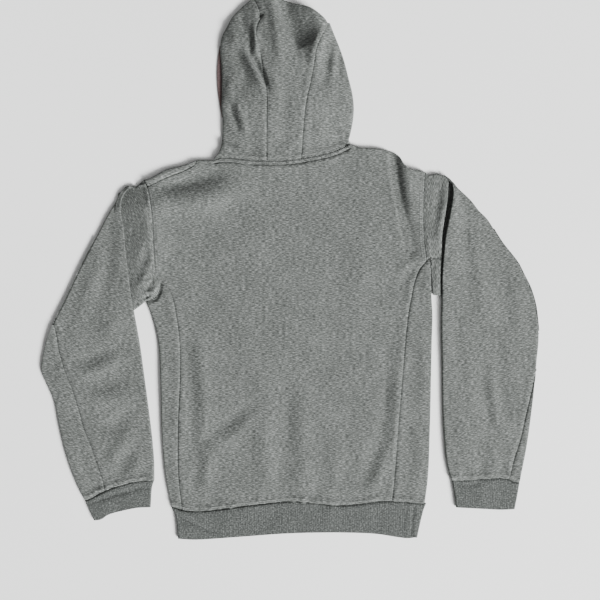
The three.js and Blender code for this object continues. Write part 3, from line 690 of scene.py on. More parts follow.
TORSO_FOLDS = (
    Fold(((-168, -132), (-161, -210), (-158, -290), (-162, -338)), 12, 2.9),
    Fold(((-194, -140), (-185, -220), (-183, -300), (-185, -346)), 12, -2.2),
    Fold(((-148, -330), (-152, -372), (-158, -414)), 12, 2.5),
    Fold(((-174, -330), (-173, -372), (-179, -412)), 11, -1.7),
    Fold(((-164, -316), (-150, -326)), 8, -2.5),
    Fold(((202, -146), (197, -230), (192, -330)), 13, 2.6),
    Fold(((181, -160), (177, -240), (169, -330)), 12, -2.0),
    Fold(((188, -318), (174, -364), (154, -412)), 13, 2.6),
    Fold(((164, -316), (150, -360), (130, -404)), 12, -2.0),
    Fold(((-12, -222), (-12, -300), (-12, -357), (-16, -420)), 17, -2.2),
    Fold(((22, -230), (24, -330), (28, -424)), 18, 2.9),
    Fold(((-44, -260), (-46, -330), (-52, -420)), 20, 1.6),
    Fold(((-140, -306), (-108, -280), (-74, -256)), 13, -2.1),
    Fold(((-126, -330), (-94, -302), (-66, -276)), 14, 2.2),
    Fold(((-66, -300), (-44, -352), (-36, -410)), 17, 2.0),
    Fold(((92, -330), (84, -380), (72, -426)), 15, 2.2),
    Fold(((110, -250), (104, -300), (108, -356)), 18, -1.7),
    Fold(((-120, -130), (-60, -170), (-30, -240)), 26, 1.8),
    Fold(((60, -60), (74, -140), (70, -210)), 30, -1.5),
    Fold(((120, 120), (136, 40), (128, -60)), 30, 1.8),
    Fold(((-180, 60), (-150, -30), (-160, -110)), 28, -1.5),
    Fold(((-70, 150), (-60, 80), (-80, 10)), 34, 1.5),
    Fold(((211, 226), (215, 150), (227, 80)), 24, 9.4),
    Fold(((187, 226), (191, 178), (198, 134), (205, 98), (211, 66), (218, 34)), 10.0, -13.0, 0.5),
    Fold(((-258, 157), (-226, 172), (-196, 182)), 7, 1.6),
    Fold(((-258, 144), (-222, 153), (-176, 163), (-128, 176)), 14, -4.2),
    Fold(((-252, 112), (-200, 120), (-150, 130), (-96, 152)), 25, 7.6),
    Fold(((150, 196), (180, 180), (196, 150)), 16, -1.6),
    Fold(((-190, 112), (-140, 124), (-90, 140)), 18, 1.8),
    Fold(((-250, -26), (-253, -42), (-260, -54)), 7, 3.6),
    Fold(((-239, -33), (-242, -46), (-250, -58), (-262, -65)), 4.5, -3.8),
    Fold(((-271, -58), (-258, -53), (-247, -60)), 3.2, -4.4),
    Fold(((-270, -49), (-256, -46), (-243, -54)), 4.5, 2.6),
    Fold(((-232, -44), (-222, -78), (-212, -112)), 9, 2.0),
    Fold(((-244, -4), (-220, -20), (-196, -50)), 10, -1.6),
    Fold(((240, 2), (222, -10), (206, -40)), 9, -1.6),
    Fold(((248, 30), (228, 10), (206, -4)), 10, 1.4),
    Fold(((256, -4), (252, -30), (256, -64)), 7, 1.6),
    Fold(((-236, -180), (-240, -215), (-236, -262)), 8, 1.6),
    Fold(((244, -120), (248, -190), (246, -270)), 9, 1.5),
    Fold(((232, -300), (240, -350), (236, -420)), 10, 1.7),
    # the sleeve heads
    Fold(((266, 164), (262, 120), (261, 70), (259, 24)), 9, 2.2),
    Fold(((-264, 156), (-262, 100), (-258, 50), (-255, 10)), 22, 8.6, 0.45),
    Fold(((-258, 14), (-266, -16), (-276, -44)), 14, 6.4),
    Fold(((-268, 150), (-278, 120), (-276, 80)), 8, 1.2),
)
TORSO = Relief(
    NECK.height,
    TORSO_FOLDS,
    (
        Seam(HEM_SEAM, 1.6, 1.3, 1.7),
        Seam(SIDE_SEAM_LEFT, 1.3, 0.6),
        Seam(SIDE_SEAM_RIGHT, 1.2, 0.6),
        Seam(ARMHOLE_LEFT, 0.9, 0.2),
        Seam(ARMHOLE_RIGHT, 0.8, 0.6),
        Seam(UNDERARM_LEFT, 1.4, 0.5),
        Seam(SHOULDER_SEAM_LEFT, 0.8, 0.4),
        Seam(NECK_SEAM, 1.0, 0.0),
        Seam(NECK_BAND, 2.2, 0.5, 0.6),
    ),
)


def under_columns(grid: Grid, line: Curve) -> Array:
    """Spreads a grid's columns along the line where they end underneath.

    Args:
        grid: the grid.
        line: the line.

    Returns:
        The place where each column ends.
    """
    steps = np.linalg.norm(np.diff(grid.points[-1, :, :2], axis=0), axis=1)
    share = np.concatenate([[0.0], np.cumsum(steps)]) / steps.sum()
    return line.at(share)


def turned_in(edge: Array, free: Array) -> tuple[Array, Array]:
    """Sizes a roll that is sewn along some of its edge and free along the rest.

    Args:
        edge: the points of the edge.
        free: 0 where a point is sewn, 1 where it is free, and between them beside a seam's end.

    Returns:
        The roll's radius and the height of the cloth underneath, for each point.
    """
    return SEWN + (RIM - SEWN) * free, (edge[:, 2] - 2 * SEWN) * (1 - free)


@dataclass(frozen=True)
class Body:
    """Back panel, front panel and the two side panels."""

    hem: Curve = HEM_SEAM.part((-200, -451), (189, -436))  # between the side seams
    shoulder_left: Row = (-263, 149)  # where the left shoulder seam meets the armhole
    underarm_left: Row = (-240, -30)
    underarm_right: Row = (253, 11)
    bare_right: Row = (108, 118)  # from here rightwards the back panel's top edge is free
    bare_left: tuple[Row, Row] = ((-174, -168), (-136, -128))  # and between these, left of the hood
    wrap_end: Curve = Curve([(-262, 110), (-220, 120), (-180, 128), (-150, 134)])
    front_yoke: Curve = Curve([(-258, 108), (-220, 118), (-128, 132)])
    front_inset: float = 2.6  # how far the front panel stays inside the right shoulder's edge

    def back(self) -> bpy.types.Object:
        """Makes the back panel: sewn all round, but rolled over at the bare bits of shoulder.

        Returns:
            The piece.
        """
        shoulder = SHOULDER_SEAM_LEFT.part(self.shoulder_left, (-174, 192))
        top = joined(shoulder, NECK_EDGE_LEFT, NECK_SEAM, SHOULDER_EDGE_RIGHT)
        left = joined(SIDE_SEAM_LEFT, ARMHOLE_LEFT.part(self.underarm_left, self.shoulder_left))
        right = joined(SIDE_SEAM_RIGHT, ARMHOLE_RIGHT)
        grid = top_grid(left, right, self.hem, top, TORSO.height)
        edge = grid.points[-1]
        start, end = self.bare_left
        free = smoothstep(edge[:, 0], *self.bare_right)
        free = free + smoothstep(edge[:, 0], *start) * (1 - smoothstep(edge[:, 0], *end))
        made = rolled(grid, BACK_TUCK, *turned_in(edge, free))
        return make_cloth("back_panel_cloth", [made.outward()])

    def front(self) -> bpy.types.Object:
        """Makes the front panel: flat underneath, and turned up over the left shoulder to its seam.

        Returns:
            The piece.
        """
        shoulder = SHOULDER_SEAM_LEFT.part(self.shoulder_left, (-175, 190.5))
        edge = SHOULDER_EDGE_LEFT.part((-271, 162), (-173, 197.5))
        ends = (straight(shoulder.at(0), edge.at(0)), straight(shoulder.at(1), edge.at(1)))
        wrap = top_grid(*ends, shoulder, edge, TORSO.height)
        wrap = rolled(wrap, under_columns(wrap, self.wrap_end)).outward()

        shoulder_right = SHOULDER_EDGE_RIGHT.moved(0, -self.front_inset)
        top = joined(self.front_yoke, NECK_SCOOP.part((-108, 164), (92, 190)),
                     shoulder_right.part((118, 222), (247, 174)))
        left = joined(SIDE_SEAM_LEFT, ARMHOLE_LEFT.part(self.underarm_left, (-256, 104)))
        right = joined(SIDE_SEAM_RIGHT, ARMHOLE_RIGHT.part(self.underarm_right, (247, 172)))
        slab = top_grid(left, right, self.hem, top, lambda xy: 0 * xy[..., 0], HIDDEN_STEP)
        return make_cloth("front_panel_cloth", [wrap, slab.outward()])

    def side(self, side: Side) -> bpy.types.Object:
        """Makes a side panel: from its seam on top round the free edge and back to the same line.

        Args:
            side: which of the two.

        Returns:
            The piece.
        """
        if side is Side.LEFT:
            seam, edge, top = SIDE_SEAM_LEFT, EDGE_LEFT, UNDERARM_LEFT
        else:
            seam, edge, top = SIDE_SEAM_RIGHT, EDGE_RIGHT, UNDERARM_RIGHT
        # rows run from the seam to the edge, so the panel's ends are its first and last columns
        hem = HEM_SEAM.part(tuple(seam.at(0)), tuple(edge.at(0)))
        grid = top_grid(hem, top, seam, edge, TORSO.height)
        made = rolled(grid, under_columns(grid, seam))
        return make_cloth(f"side_panel_{side.value}_cloth", [made.outward()])

    def left(self) -> bpy.types.Object:
        """The left side panel."""
        return self.side(Side.LEFT)

    def right(self) -> bpy.types.Object:
        """The right side panel."""
        return self.side(Side.RIGHT)


@dataclass(frozen=True)
class Slot:
    """An open slot beside the fold: the sleeve head drops down in front of it."""

    line: Curve
    low: float = 2.0  # height of the cloth in the slot
    drop: Row = (-0.6, 2.6)  # it falls between these distances to the left of the line

    def lay(self, xy: Array, z: Array, outwards: Array) -> Array:
        """Lets the sleeve head down.

        Args:
            xy: places, with x and y last.
            z: the head's height there.
            outwards: how far they lie past the fold; not used here.

        Returns:
            Its height with the slot.
        """
        away, side, _ = self.line.away(xy)
        return z + (self.low - z) * smoothstep(away * side, *self.drop)


@dataclass(frozen=True)
class Slope:
    """A plain slope down to the fold, above a slanting line: the head lies in the fold's shade."""

    seam: Curve  # the armhole seam, which it leaves as it is
    foot: Row = (-257, 60)  # a place on the line
    slant: float = 2.66  # how much the line climbs
    blend: Row = (-34, 30)  # it takes over between these heights over the line
    top: float = 16.5  # its height where it starts
    fall: float = 12.9  # and how far it falls
    wide: float = 46.0  # over this width
    clear: Row = (1, 9)  # it takes over between these distances from the seam

    def lay(self, xy: Array, z: Array, outwards: Array) -> Array:
        """Lets the sleeve head down.

        Args:
            xy: places, with x and y last.
            z: the head's height there.
            outwards: how far they lie past the fold.

        Returns:
            Its height with the slope.
        """
        above = xy[..., 1] - self.foot[1] - self.slant * (xy[..., 0] - self.foot[0])
        slope = self.top - self.fall * np.clip((outwards + self.wide) / self.wide, 0, 1)
        near_seam, _, _ = self.seam.away(xy)
        return z + (slope - z) * smoothstep(above, *self.blend) * smoothstep(near_seam, *self.clear)


@dataclass(frozen=True)
class Sleeve:
    """A two-piece sleeve laid beside the body: a flat tube, and its head folded under the tube."""

    side: Side
    outer: Curve  # the free outer edge, from the shoulder to the cuff
    fold: Curve  # the tube's inner edge, from the shoulder to the cuff
    highs: tuple[float, ...]  # how far the cloth stands up along the fold, at even shares of it
    seam: Curve  # the back seam, from where it leaves the outer edge to the cuff
    cuff: Curve  # the cuff seam, from the outer edge to the fold
    under_arm: float  # share of the fold above which it lies on the sleeve head
    lifted: float  # height of the cloth's underside there
    folds: tuple[Fold, ...]
    armhole: Curve
    head_low: Curve  # the head's lower line, from the armhole outwards
    head_outer: Curve  # where the head ends under the tube, from its lower line to the shoulder
    head_top: Curve  # the shoulder edge, from the armhole outwards
    head_folds: tuple[Fold, ...]
    beside_fold: Slot | Slope  # how the head goes down to the fold
    head_grain: float  # degrees by which the knit is turned
    tube_grain: float
    rise: Row = (0.3, 0.9)  # between these shares of the width the tube rises to the fold
    leaves_head: Row = (0.06, 0.05)  # before and after that share of the fold it comes off the head
    under_fold: Row = (-2, 6)  # between these distances past the fold the head is pressed down
    pressed: float = 2.4  # and by how much
    inset: float = 0.4  # width of the front piece where only its edge shows

    def tube_base(self, xy: Array) -> Array:
        """Works out the height of the tube's two flat layers, raised along the fold.

        Args:
            xy: places, with x and y last.

        Returns:
            The height at each place.
        """
        from_outer, _, _ = self.outer.away(xy)
        from_fold, _, share = self.fold.away(xy)
        across = from_outer / np.maximum(from_outer + from_fold, NOTHING)
        high = np.interp(share, np.linspace(0, 1, len(self.highs)), self.highs)
        return FLAT + high * smoothstep(across, *self.rise)

    def tube_relief(self) -> Relief:
        """The tube's relief."""
        seams = (Seam(self.seam, 1.2, 0.6), Seam(self.cuff, 1.6, 1.4, 1.6))
        return Relief(self.tube_base, self.folds, seams)

    def tube_height(self, xy: Array) -> Array:
        """Works out how high the tube stands, rounded off at the outer edge.

        Args:
            xy: places, with x and y last.

        Returns:
            The height at each place.
        """
        away, _, _ = self.bare_edge().away(xy, BARE_PIECES)
        full = np.sqrt(1 - (1 - np.clip(away / RIM, 0.01, 1)) ** 2)
        return RIM + (self.tube_relief().height(xy) - RIM) * full

    def bare_edge(self) -> Curve:
        """The outer edge above the place where the back seam leaves it."""
        return self.outer.part(tuple(self.outer.at(0)), tuple(self.seam.at(0)))

    def back(self) -> bpy.types.Object:
        """Makes the back piece: the tube's top with its rolled fold, and the sleeve head beneath.

        Returns:
            The piece.
        """
        outside = joined(self.bare_edge(), self.seam)
        wide = self.cuff.part(tuple(self.seam.at(1)), tuple(self.fold.at(1)))
        top = straight(outside.at(0), self.fold.at(0))
        grid = top_grid(top, wide, outside, self.fold, self.tube_height)
        edge = grid.points[-1]
        _, _, share = self.fold.away(edge[:, :2])
        before, after = self.leaves_head
        on_head = 1 - smoothstep(share, self.under_arm - before, self.under_arm + after)
        floor = np.minimum(self.lifted, edge[:, 2] - 2 * SEWN) * on_head
        tube = rolled(grid, TUCK, np.minimum(RIM, (edge[:, 2] - floor) / 2), floor)
        tube = tube.turned(self.tube_grain).outward()
        return make_cloth(f"sleeve_{self.side.value}_back_cloth", [tube, self.head()])

    def head_height(self, xy: Array) -> Array:
        """Works out how high the sleeve head stands.

        Args:
            xy: places, with x and y last.

        Returns:
            The height at each place.
        """
        relief = Relief(TORSO.base, (*TORSO.folds, *self.head_folds), TORSO.seams)
        away, side, _ = self.fold.away(xy)
        outwards = side * away * (-1 if self.side is Side.LEFT else 1)
        z = relief.height(xy) - smoothstep(outwards, *self.under_fold) * self.pressed
        return self.beside_fold.lay(xy, z, outwards)

    def head(self) -> Grid:
        """Makes the sleeve head: sewn to the armhole, rolled over the shoulder, and lost beneath the tube.

        Returns:
            Its grid.
        """
        sides = (self.armhole, self.head_outer, self.head_low, self.head_top)
        grid = rolled(top_grid(*sides, self.head_height, HEAD_STEP), TUCK)
        edge = grid.points[0]
        start = self.head_low.part(tuple(self.head_low.at(0)), tuple(self.underarm().at(1)))
        sewn, _, _ = start.away(edge[:, :2])
        made = rolled(grid.flipped(), TUCK, *turned_in(edge, smoothstep(sewn, *SEAM_SLACK)))
        return made.turned(self.head_grain).outward()

    def underarm(self) -> Curve:
        """The seam under the arm, from the armhole to the free edge."""
        return UNDERARM_LEFT if self.side is Side.LEFT else UNDERARM_RIGHT

    def front(self) -> bpy.types.Object:
        """Makes the front piece: from the back seam round the outer edge and under to the inner edge.

        Returns:
            The piece.
        """
        off = self.inset if self.side is Side.LEFT else -self.inset
        inner = joined(self.bare_edge().beside(off), self.seam)
        end = self.cuff.part(tuple(self.seam.at(1)), tuple(self.outer.at(1)))
        top = straight(inner.at(0), self.outer.at(0))
        grid = top_grid(top, end, inner, self.outer, self.tube_height)
        made = rolled(grid, under_columns(grid, self.fold)).turned(self.tube_grain)
        return make_cloth(f"sleeve_{self.side.value}_front_cloth", [made.outward()])


LEFT_OUTER = Curve([(-288, 149.6), (-297, 149), (-305, 147.2), (-316, 137), (-323, 121), (-338, 97),
                    (-355, 64), (-387, 2), (-417, -61), (-438.6, -103.6), (-451, -132), (-456, -151),
                    (-462, -188), (-459, -201), (-448, -225), (-437, -252), (-429, -293), (-418, -340),
                    (-404, -384), (-388, -421), (-380, -433.8)])
LEFT_FOLD = Curve([(-288, 148.8), (-296, 147), (-302, 143), (-308, 134), (-313, 122), (-314, 102),
                   (-308, 69), (-304, 23), (-299, -18), (-294, -54), (-290, -82), (-279, -143),
                   (-271, -201), (-264, -253), (-257, -309), (-252.5, -361), (-252, -396)])
LEFT_CUFF = Curve([(-380, -433.5), (-372, -431), (-343, -416), (-313, -405), (-280, -397), (-252, -396)])
LEFT_SLEEVE = Sleeve(
    side=Side.LEFT,
    outer=LEFT_OUTER,
    fold=LEFT_FOLD,
    highs=(0.6, 1.8, 3.2, 3.8, 3.8, 3.4, 2.6, 1.6, 0.6, 0.5, 0.5, 0.8, 1.2, 1.5),
    seam=Curve([(-439, -104.5), (-433, -128), (-429, -154), (-418, -192), (-404.6, -225), (-393.6, -260),
                (-382.6, -299), (-369, -334), (-358, -366), (-349.7, -389), (-342.8, -416)]),
    cuff=LEFT_CUFF,
    under_arm=0.42,
    lifted=8.4,
    folds=(
        Fold(((-344, 40), (-362, -20), (-384, -76), (-398, -128)), 15, 2.6),
        Fold(((-330, 60), (-338, 0), (-352, -60)), 14, -2.2),
        Fold(((-388, -196), (-356, -192), (-314, -176)), 12, 2.8, 0.3),
        Fold(((-396, -176), (-360, -166), (-322, -150)), 12, -2.4),
        Fold(((-384, -222), (-350, -218), (-310, -214)), 13, -2.0),
        Fold(((-372, -254), (-340, -246), (-300, -240)), 14, 1.8),
        Fold(((-352, -300), (-322, -290), (-286, -262)), 13, -1.8),
        Fold(((-340, -372), (-318, -336), (-294, -300)), 12, 2.4),
        Fold(((-322, -384), (-300, -350), (-280, -330)), 10, -1.8),
        Fold(((-300, -390), (-288, -372), (-276, -360)), 9, 1.6),
        Fold(((-330, -84), (-334, -130), (-322, -176)), 15, 2.0),
        Fold(((-424, -120), (-420, -150), (-436, -186)), 10, -1.2),
        Fold(((-436, -200), (-420, -236), (-414, -280)), 11, 1.4),
        Fold(((-412, -330), (-396, -370), (-384, -404)), 11, 1.5),
        Fold(((-366, -404), (-352, -410)), 8, -1.4),
    ),
    armhole=joined(straight((-240, -30), (-241, -29)), ARMHOLE_LEFT),
    head_low=joined(UNDERARM_LEFT, Curve([(-267, -63), (-280, -74), (-293, -83), (-306, -92)])),
    head_outer=Curve([(-306, -92), (-318, -30), (-328, 60), (-322, 112), (-305, 146)]),
    head_top=Curve([(-271, 162), (-278, 156), (-285, 150), (-294, 148), (-305, 146)]),
    head_folds=(),
    beside_fold=Slope(ARMHOLE_LEFT),
    head_grain=128.0,
    tube_grain=-14.0,
)
RIGHT_OUTER = Curve([(284, 170.4), (295, 163.5), (304, 155), (314, 144), (325, 134), (338, 121),
                     (350, 105), (366, 89), (383, 62), (394, 45), (423, 7.5), (435, -16), (446, -38),
                     (455, -67), (460, -104), (461.5, -134), (458, -173), (454, -214), (449, -261.5),
                     (440, -329), (431.5, -374), (426, -401)])
RIGHT_FOLD = Curve([(284, 169.4), (294, 162), (299.5, 155.5), (301.4, 148), (301.8, 140), (300.8, 126),
                    (295, 95), (288, 58), (285, 27), (282, -15), (281, -52), (280, -113), (281.5, -173),
                    (283, -261), (286, -320.7), (290, -359), (297, -389), (300, -395)])
RIGHT_CUFF = Curve([(426, -401), (416, -399), (400, -393), (360, -394), (320, -396), (300, -396)])
RIGHT_SLEEVE = Sleeve(
    side=Side.RIGHT,
    outer=RIGHT_OUTER,
    fold=RIGHT_FOLD,
    highs=(3.0, 8.0, 8.4, 6.8, 4.6, 3.4, 2.6, 2.0, 1.4, 0.8, 0.5, 0.5, 0.8, 1.2, 1.5),
    seam=Curve([(456.5, -190), (453, -208), (446, -238), (437, -276), (427, -320.7), (416.6, -353),
                (408.5, -385), (405, -394)]),
    cuff=RIGHT_CUFF,
    under_arm=0.38,
    lifted=9.0,
    folds=(
        Fold(((336, 70), (346, 20), (356, -40), (362, -96)), 17, 2.4),
        Fold(((318, 110), (322, 60), (330, 0), (334, -60)), 12, -1.8),
        Fold(((371, -190), (374, -226), (380, -262), (384, -288), (398, -306), (404, -322)), 9, 3.0, 0.3),
        Fold(((384, -180), (388, -226), (396, -276)), 11, -2.2),
        Fold(((356, -200), (360, -250), (370, -300)), 12, -1.8),
        Fold(((330, -140), (336, -200), (332, -270)), 15, 1.7),
        Fold(((310, -260), (324, -310), (330, -360)), 14, 1.8),
        Fold(((352, -330), (356, -362), (350, -388)), 11, -1.7),
        Fold(((376, -330), (380, -360), (376, -386)), 10, 1.8),
        Fold(((414, -20), (420, -70), (428, -120)), 14, 1.6),
        Fold(((396, 0), (404, -60), (400, -110)), 14, -1.4),
        Fold(((398, -130), (410, -170), (420, -220)), 13, 1.4),
        Fold(((304, -80), (310, -130), (306, -180)), 10, -1.3),
        Fold(((308, -366), (316, -384)), 8, 1.6),
    ),
    armhole=ARMHOLE_RIGHT,
    head_low=joined(straight((253, 11), (262, 8)), Curve([(262, 8), (263, -20), (264.5, -50)]),
                    straight((264.5, -52), (300, -56))),
    head_outer=Curve([(300, -56), (304, -20), (316, 30), (322, 100), (300, 158)]),
    head_top=Curve([(250, 176), (258, 170.5), (272, 173), (286, 169), (300, 158)]),
    head_folds=(
        Fold(((290, 150), (287, 124), (281, 94), (275, 60), (275, 30)), 9, 5.4),
        Fold(((272, 10), (272, -20), (271, -50)), 6, 1.6),
        Fold(((250, 12), (264, 17), (284, 16)), 1.7, -2.2),
    ),
    beside_fold=Slot(Curve([(294, 162), (293, 150), (291.4, 126.5), (287, 95), (281.5, 58), (281, 27),
                            (279, -15), (278.4, -56)])),
    head_grain=84.0,
    tube_grain=8.0,
)


# ---- the hood --------------------------------------------------------------------------------------------
HOOD_SEAM_LEFT = Curve([(-43.5, 195.8), (-43.5, 230), (-43, 272), (-43, 321), (-48.4, 352.5), (-54, 389),
                        (-62, 430), (-60, 446), (-54, 459.4), (-58, 476), (-67, 496.5)])
HOOD_SEAM_RIGHT = Curve([(20.5, 199.6), (22.3, 217.6), (27, 281), (30.3, 305), (39, 344), (43.9, 370),
                         (49.5, 401.8), (66.4, 438), (71, 449.5)])
HOOD_EDGE_LEFT = Curve([(-143, 199), (-139, 204), (-132, 212.6), (-127, 229.5), (-125, 271.6),
                        (-127, 294), (-126.5, 322), (-127, 370), (-129.6, 406), (-126.5, 427),
                        (-118, 443.6), (-107, 463), (-91, 480), (-73, 494.5), (-69.5, 496)])
HOOD_EDGE_RIGHT = Curve([(112, 227), (109.5, 236), (111.6, 244), (117, 271.6), (118.7, 294), (116, 321),
                         (109, 349.7), (98.6, 388.7), (87.4, 418.5), (76, 444), (74, 449)])
CROWN = Curve([(-67, 497), (-56, 501.5), (-41, 503.5), (-26, 501), (-12.5, 496.6), (7.4, 489), (34.8, 480),
               (52.8, 468.7), (66, 458), (72, 450)])


@dataclass(frozen=True)
class Dome:
    """The hood's soft dome: two flat layers at its edges, and level with the torso at the neck."""

    half: float = 118.0  # from a side edge to the full height
    foot: float = 185.0  # where the hood starts
    tall: float = 310.0
    risen: float = 0.45  # share of its length after which it stands full
    sag: float = 0.3  # share of its height that it loses towards the crown
    rim: float = 5.0  # how high it stands all over
    swell: float = 16.0  # and how much more in the middle
    crown_low: float = 0.6  # share of its height at the crown's edge
    crown_half: float = 34.0  # over this distance it comes down to the crown
    neck_half: float = 46.0  # and over this one to the neck

    def height(self, xy: Array) -> Array:
        """Works out how high the dome stands.

        Args:
            xy: places, with x and y last.

        Returns:
            The height at each place.
        """
        left, _, _ = HOOD_EDGE_LEFT.away(xy)
        right, _, _ = HOOD_EDGE_RIGHT.away(xy)
        crown, _, _ = CROWN.away(xy)
        neck, _, _ = NECK_SEAM.away(xy)
        dome = np.sin(np.minimum(np.minimum(left, right) / self.half, 1) * math.pi / 2)
        up = np.clip((xy[..., 1] - self.foot) / self.tall, 0, 1)
        full = smoothstep(up, 0, self.risen) * (1 - self.sag * up)
        rounded = np.sin(np.minimum(crown / self.crown_half, 1) * math.pi / 2) ** 0.8
        ease = self.crown_low + (1 - self.crown_low) * rounded
        stand = (self.rim * dome**0.5 + self.swell * dome**0.75 * full) * ease
        near = smoothstep(neck, 0, self.neck_half)
        return NECK.torso(xy) * (1 - near) + (FLAT + stand) * near


HOOD = Relief(
    Dome().height,
    (
        Fold(((-66, 440), (-63, 420), (-62, 398), (-66, 384)), 6.5, 5.1),
        Fold(((-74, 440), (-73, 412), (-76, 388)), 5.5, -3.2),
        Fold(((-84, 392), (-70, 372), (-58, 350), (-46, 326)), 7.5, 9.6, -0.3),
        Fold(((-74, 390), (-58, 362), (-43, 330)), 6.0, -11.0, 0.2),
        Fold(((-104, 398), (-88, 370), (-78, 330)), 11, -3.6),
        Fold(((-34, 488), (-28, 452), (-22, 412), (-14, 372)), 10, 4.5),
        Fold(((-22, 510), (-7, 460), (18, 400)), 16, -18.0, 0.35),
        Fold(((44, 486), (58, 440), (46, 384)), 19, 14.0),
        Fold(((8, 508), (28, 486), (44, 462)), 14, 5.0),
        Fold(((-30, 380), (-26, 330), (-28, 280)), 12, 2.4),
        Fold(((-14, 330), (-10, 280), (-14, 230)), 13, -2.2),
        Fold(((-112, 298), (-104, 276), (-94, 250)), 5.5, -4.6),
        Fold(((-98, 302), (-90, 280), (-81, 252)), 7, 5.0),
        Fold(((-128, 232), (-120, 222), (-108, 214)), 5, 4.2, 0.3),
        Fold(((-126, 244), (-112, 232), (-98, 222)), 6, -3.0),
        Fold(((84, 412), (81, 384), (80, 352)), 7, 4.8),
        Fold(((92, 400), (90, 372), (92, 340)), 7, -3.3),
        Fold(((66, 400), (66, 360), (62, 330)), 9, -3.0),
        Fold(((90, 250), (100, 242), (112, 232)), 5, 3.9),
        Fold(((84, 240), (96, 233), (108, 224)), 5, -3.3),
        Fold(((100, 268), (104, 252), (114, 244)), 6, -2.4),
        Fold(((-108, 350), (-112, 320), (-106, 300)), 9, 2.7),
        Fold(((-116, 452), (-104, 428), (-100, 404)), 9, 3.0),
        Fold(((-94, 470), (-84, 448), (-82, 428)), 8, -3.3),
        Fold(((-56, 466), (-52, 460)), 6, -4.8),
        Fold(((46, 300), (56, 262), (60, 226)), 13, 2.2),
        Fold(((78, 330), (88, 300), (86, 262)), 13, -2.1),
        Fold(((-86, 250), (-70, 226), (-64, 206)), 10, -2.1),
        Fold(((-20, 212), (0, 222), (16, 240)), 9, 1.8),
    ),
    (
        Seam(HOOD_SEAM_LEFT, 1.1, 0.6),
        Seam(HOOD_SEAM_RIGHT, 0.9, 0.8),
        Seam(NECK_SEAM, 0.9, 0.9, 0.7),
    ),
)


@dataclass(frozen=True)
class Hood:
    """Three pieces, a centre strip and two sides, and the edge of the lining."""

    centre_end: Curve = Curve([(-60, 416), (-10, 408), (54, 410)])  # where the strip ends underneath
    left_end: Curve = Curve([(-16, 132), (-26, 200), (-46, 270), (-58, 340), (-52, 396), (-62, 420),
                             (-70, 470)])
    right_end: Curve = Curve([(-6, 128), (4, 200), (24, 270), (36, 340), (30, 396), (50, 412),
                              (66, 438)])
    crown_roll: float = 4.0  # radius of the turn over the crown
    lining_inner: Curve = Curve([(-117, 278), (-117, 322), (-118, 370), (-120, 411)])
    lining_outer: Curve = Curve([(-126.6, 278), (-130, 298), (-133.6, 322), (-135.6, 350), (-135.2, 372),
                                 (-133, 396), (-130.6, 411)])
    lining_flat: float = 2.3  # height of the lining's edge
    lining_waves: float = 0.2
    lining_roll: float = 1.1
    lining_tuck: float = 7.0
    lining_wall: float = 0.9

    def centre(self) -> bpy.types.Object:
        """Makes the strip from the neck over the crown, which turns under and ends.

        Returns:
            The piece.
        """
        low = NECK_SEAM.part((-43.5, 195.8), (20.5, 199.6))
        grid = top_grid(HOOD_SEAM_LEFT, HOOD_SEAM_RIGHT, low, CROWN, HOOD.height, HOOD_STEP)
        made = rolled(grid, under_columns(grid, self.centre_end), self.crown_roll)
        return make_cloth("hood_centre_cloth", [made.outward()])

    def side(self, side: Side) -> bpy.types.Object:
        """Makes a side piece: from its seam round the free edge to the face opening underneath.

        Args:
            side: which of the two.

        Returns:
            The piece.
        """
        if side is Side.LEFT:
            seam, edge, end = HOOD_SEAM_LEFT, HOOD_EDGE_LEFT, self.left_end
        else:
            seam, edge, end = HOOD_SEAM_RIGHT, HOOD_EDGE_RIGHT, self.right_end
        neck = NECK_SEAM.part(tuple(seam.at(0)), tuple(edge.at(0)))
        grid = top_grid(neck, straight(seam.at(1), edge.at(1)), seam, edge, HOOD.height, HOOD_STEP)
        made = rolled(grid, under_columns(grid, end))
        return make_cloth(f"hood_{side.value}_cloth", [made.outward()])

    def left(self) -> bpy.types.Object:
        """The left side piece."""
        return self.side(Side.LEFT)

    def right(self) -> bpy.types.Object:
        """The right side piece."""
        return self.side(Side.RIGHT)

    def lining_height(self, xy: Array) -> Array:
        """The height of the lining's edge."""
        return self.lining_flat + self.lining_waves * SMALL.at(xy)

    def lining(self) -> bpy.types.Object:
        """Makes the jersey lining's edge, just past the hood's left edge.

        Returns:
            The piece.
        """
        inner, outer = self.lining_inner, self.lining_outer
        ends = (straight(inner.at(0), outer.at(0)), straight(inner.at(1), outer.at(1)))
        grid = top_grid(*ends, inner, outer, self.lining_height)
        made = rolled(grid, self.lining_tuck, self.lining_roll).outward(self.lining_roll)
        return make_cloth("hood_lining_cloth", [made], self.lining_wall)


# ---- the ribbed bands ------------------------------------------------------------------------------------
@dataclass(frozen=True)
class Band:
    """A ribbed band: a flattened tube of double rib, open at its end."""

    name: str
    outer: Curve  # its first free edge, from the seam to the end
    inner: Curve
    seam: Curve  # from the outer to the inner edge
    end: Curve
    end_beneath: Curve  # the lower layer's end
    folds: tuple[Fold, ...]
    seams: tuple[Seam, ...]
    grain: float  # degrees by which the knit is turned
    waves: float = 0.45

    def build(self) -> bpy.types.Object:
        """Makes the band's cloth.

        Returns:
            The piece.
        """
        seams = (Seam(self.seam, 1.3, 0.2, 0.6), *self.seams)
        relief = Relief(lambda xy: RIB_FLAT + 0 * xy[..., 0], self.folds, seams, self.waves)
        grid = ring(self.outer, self.inner, self.seam, self.end, relief.height, self.end_beneath)
        return make_cloth(f"{self.name}_cloth", [grid.turned(self.grain)], RIB_WALL)


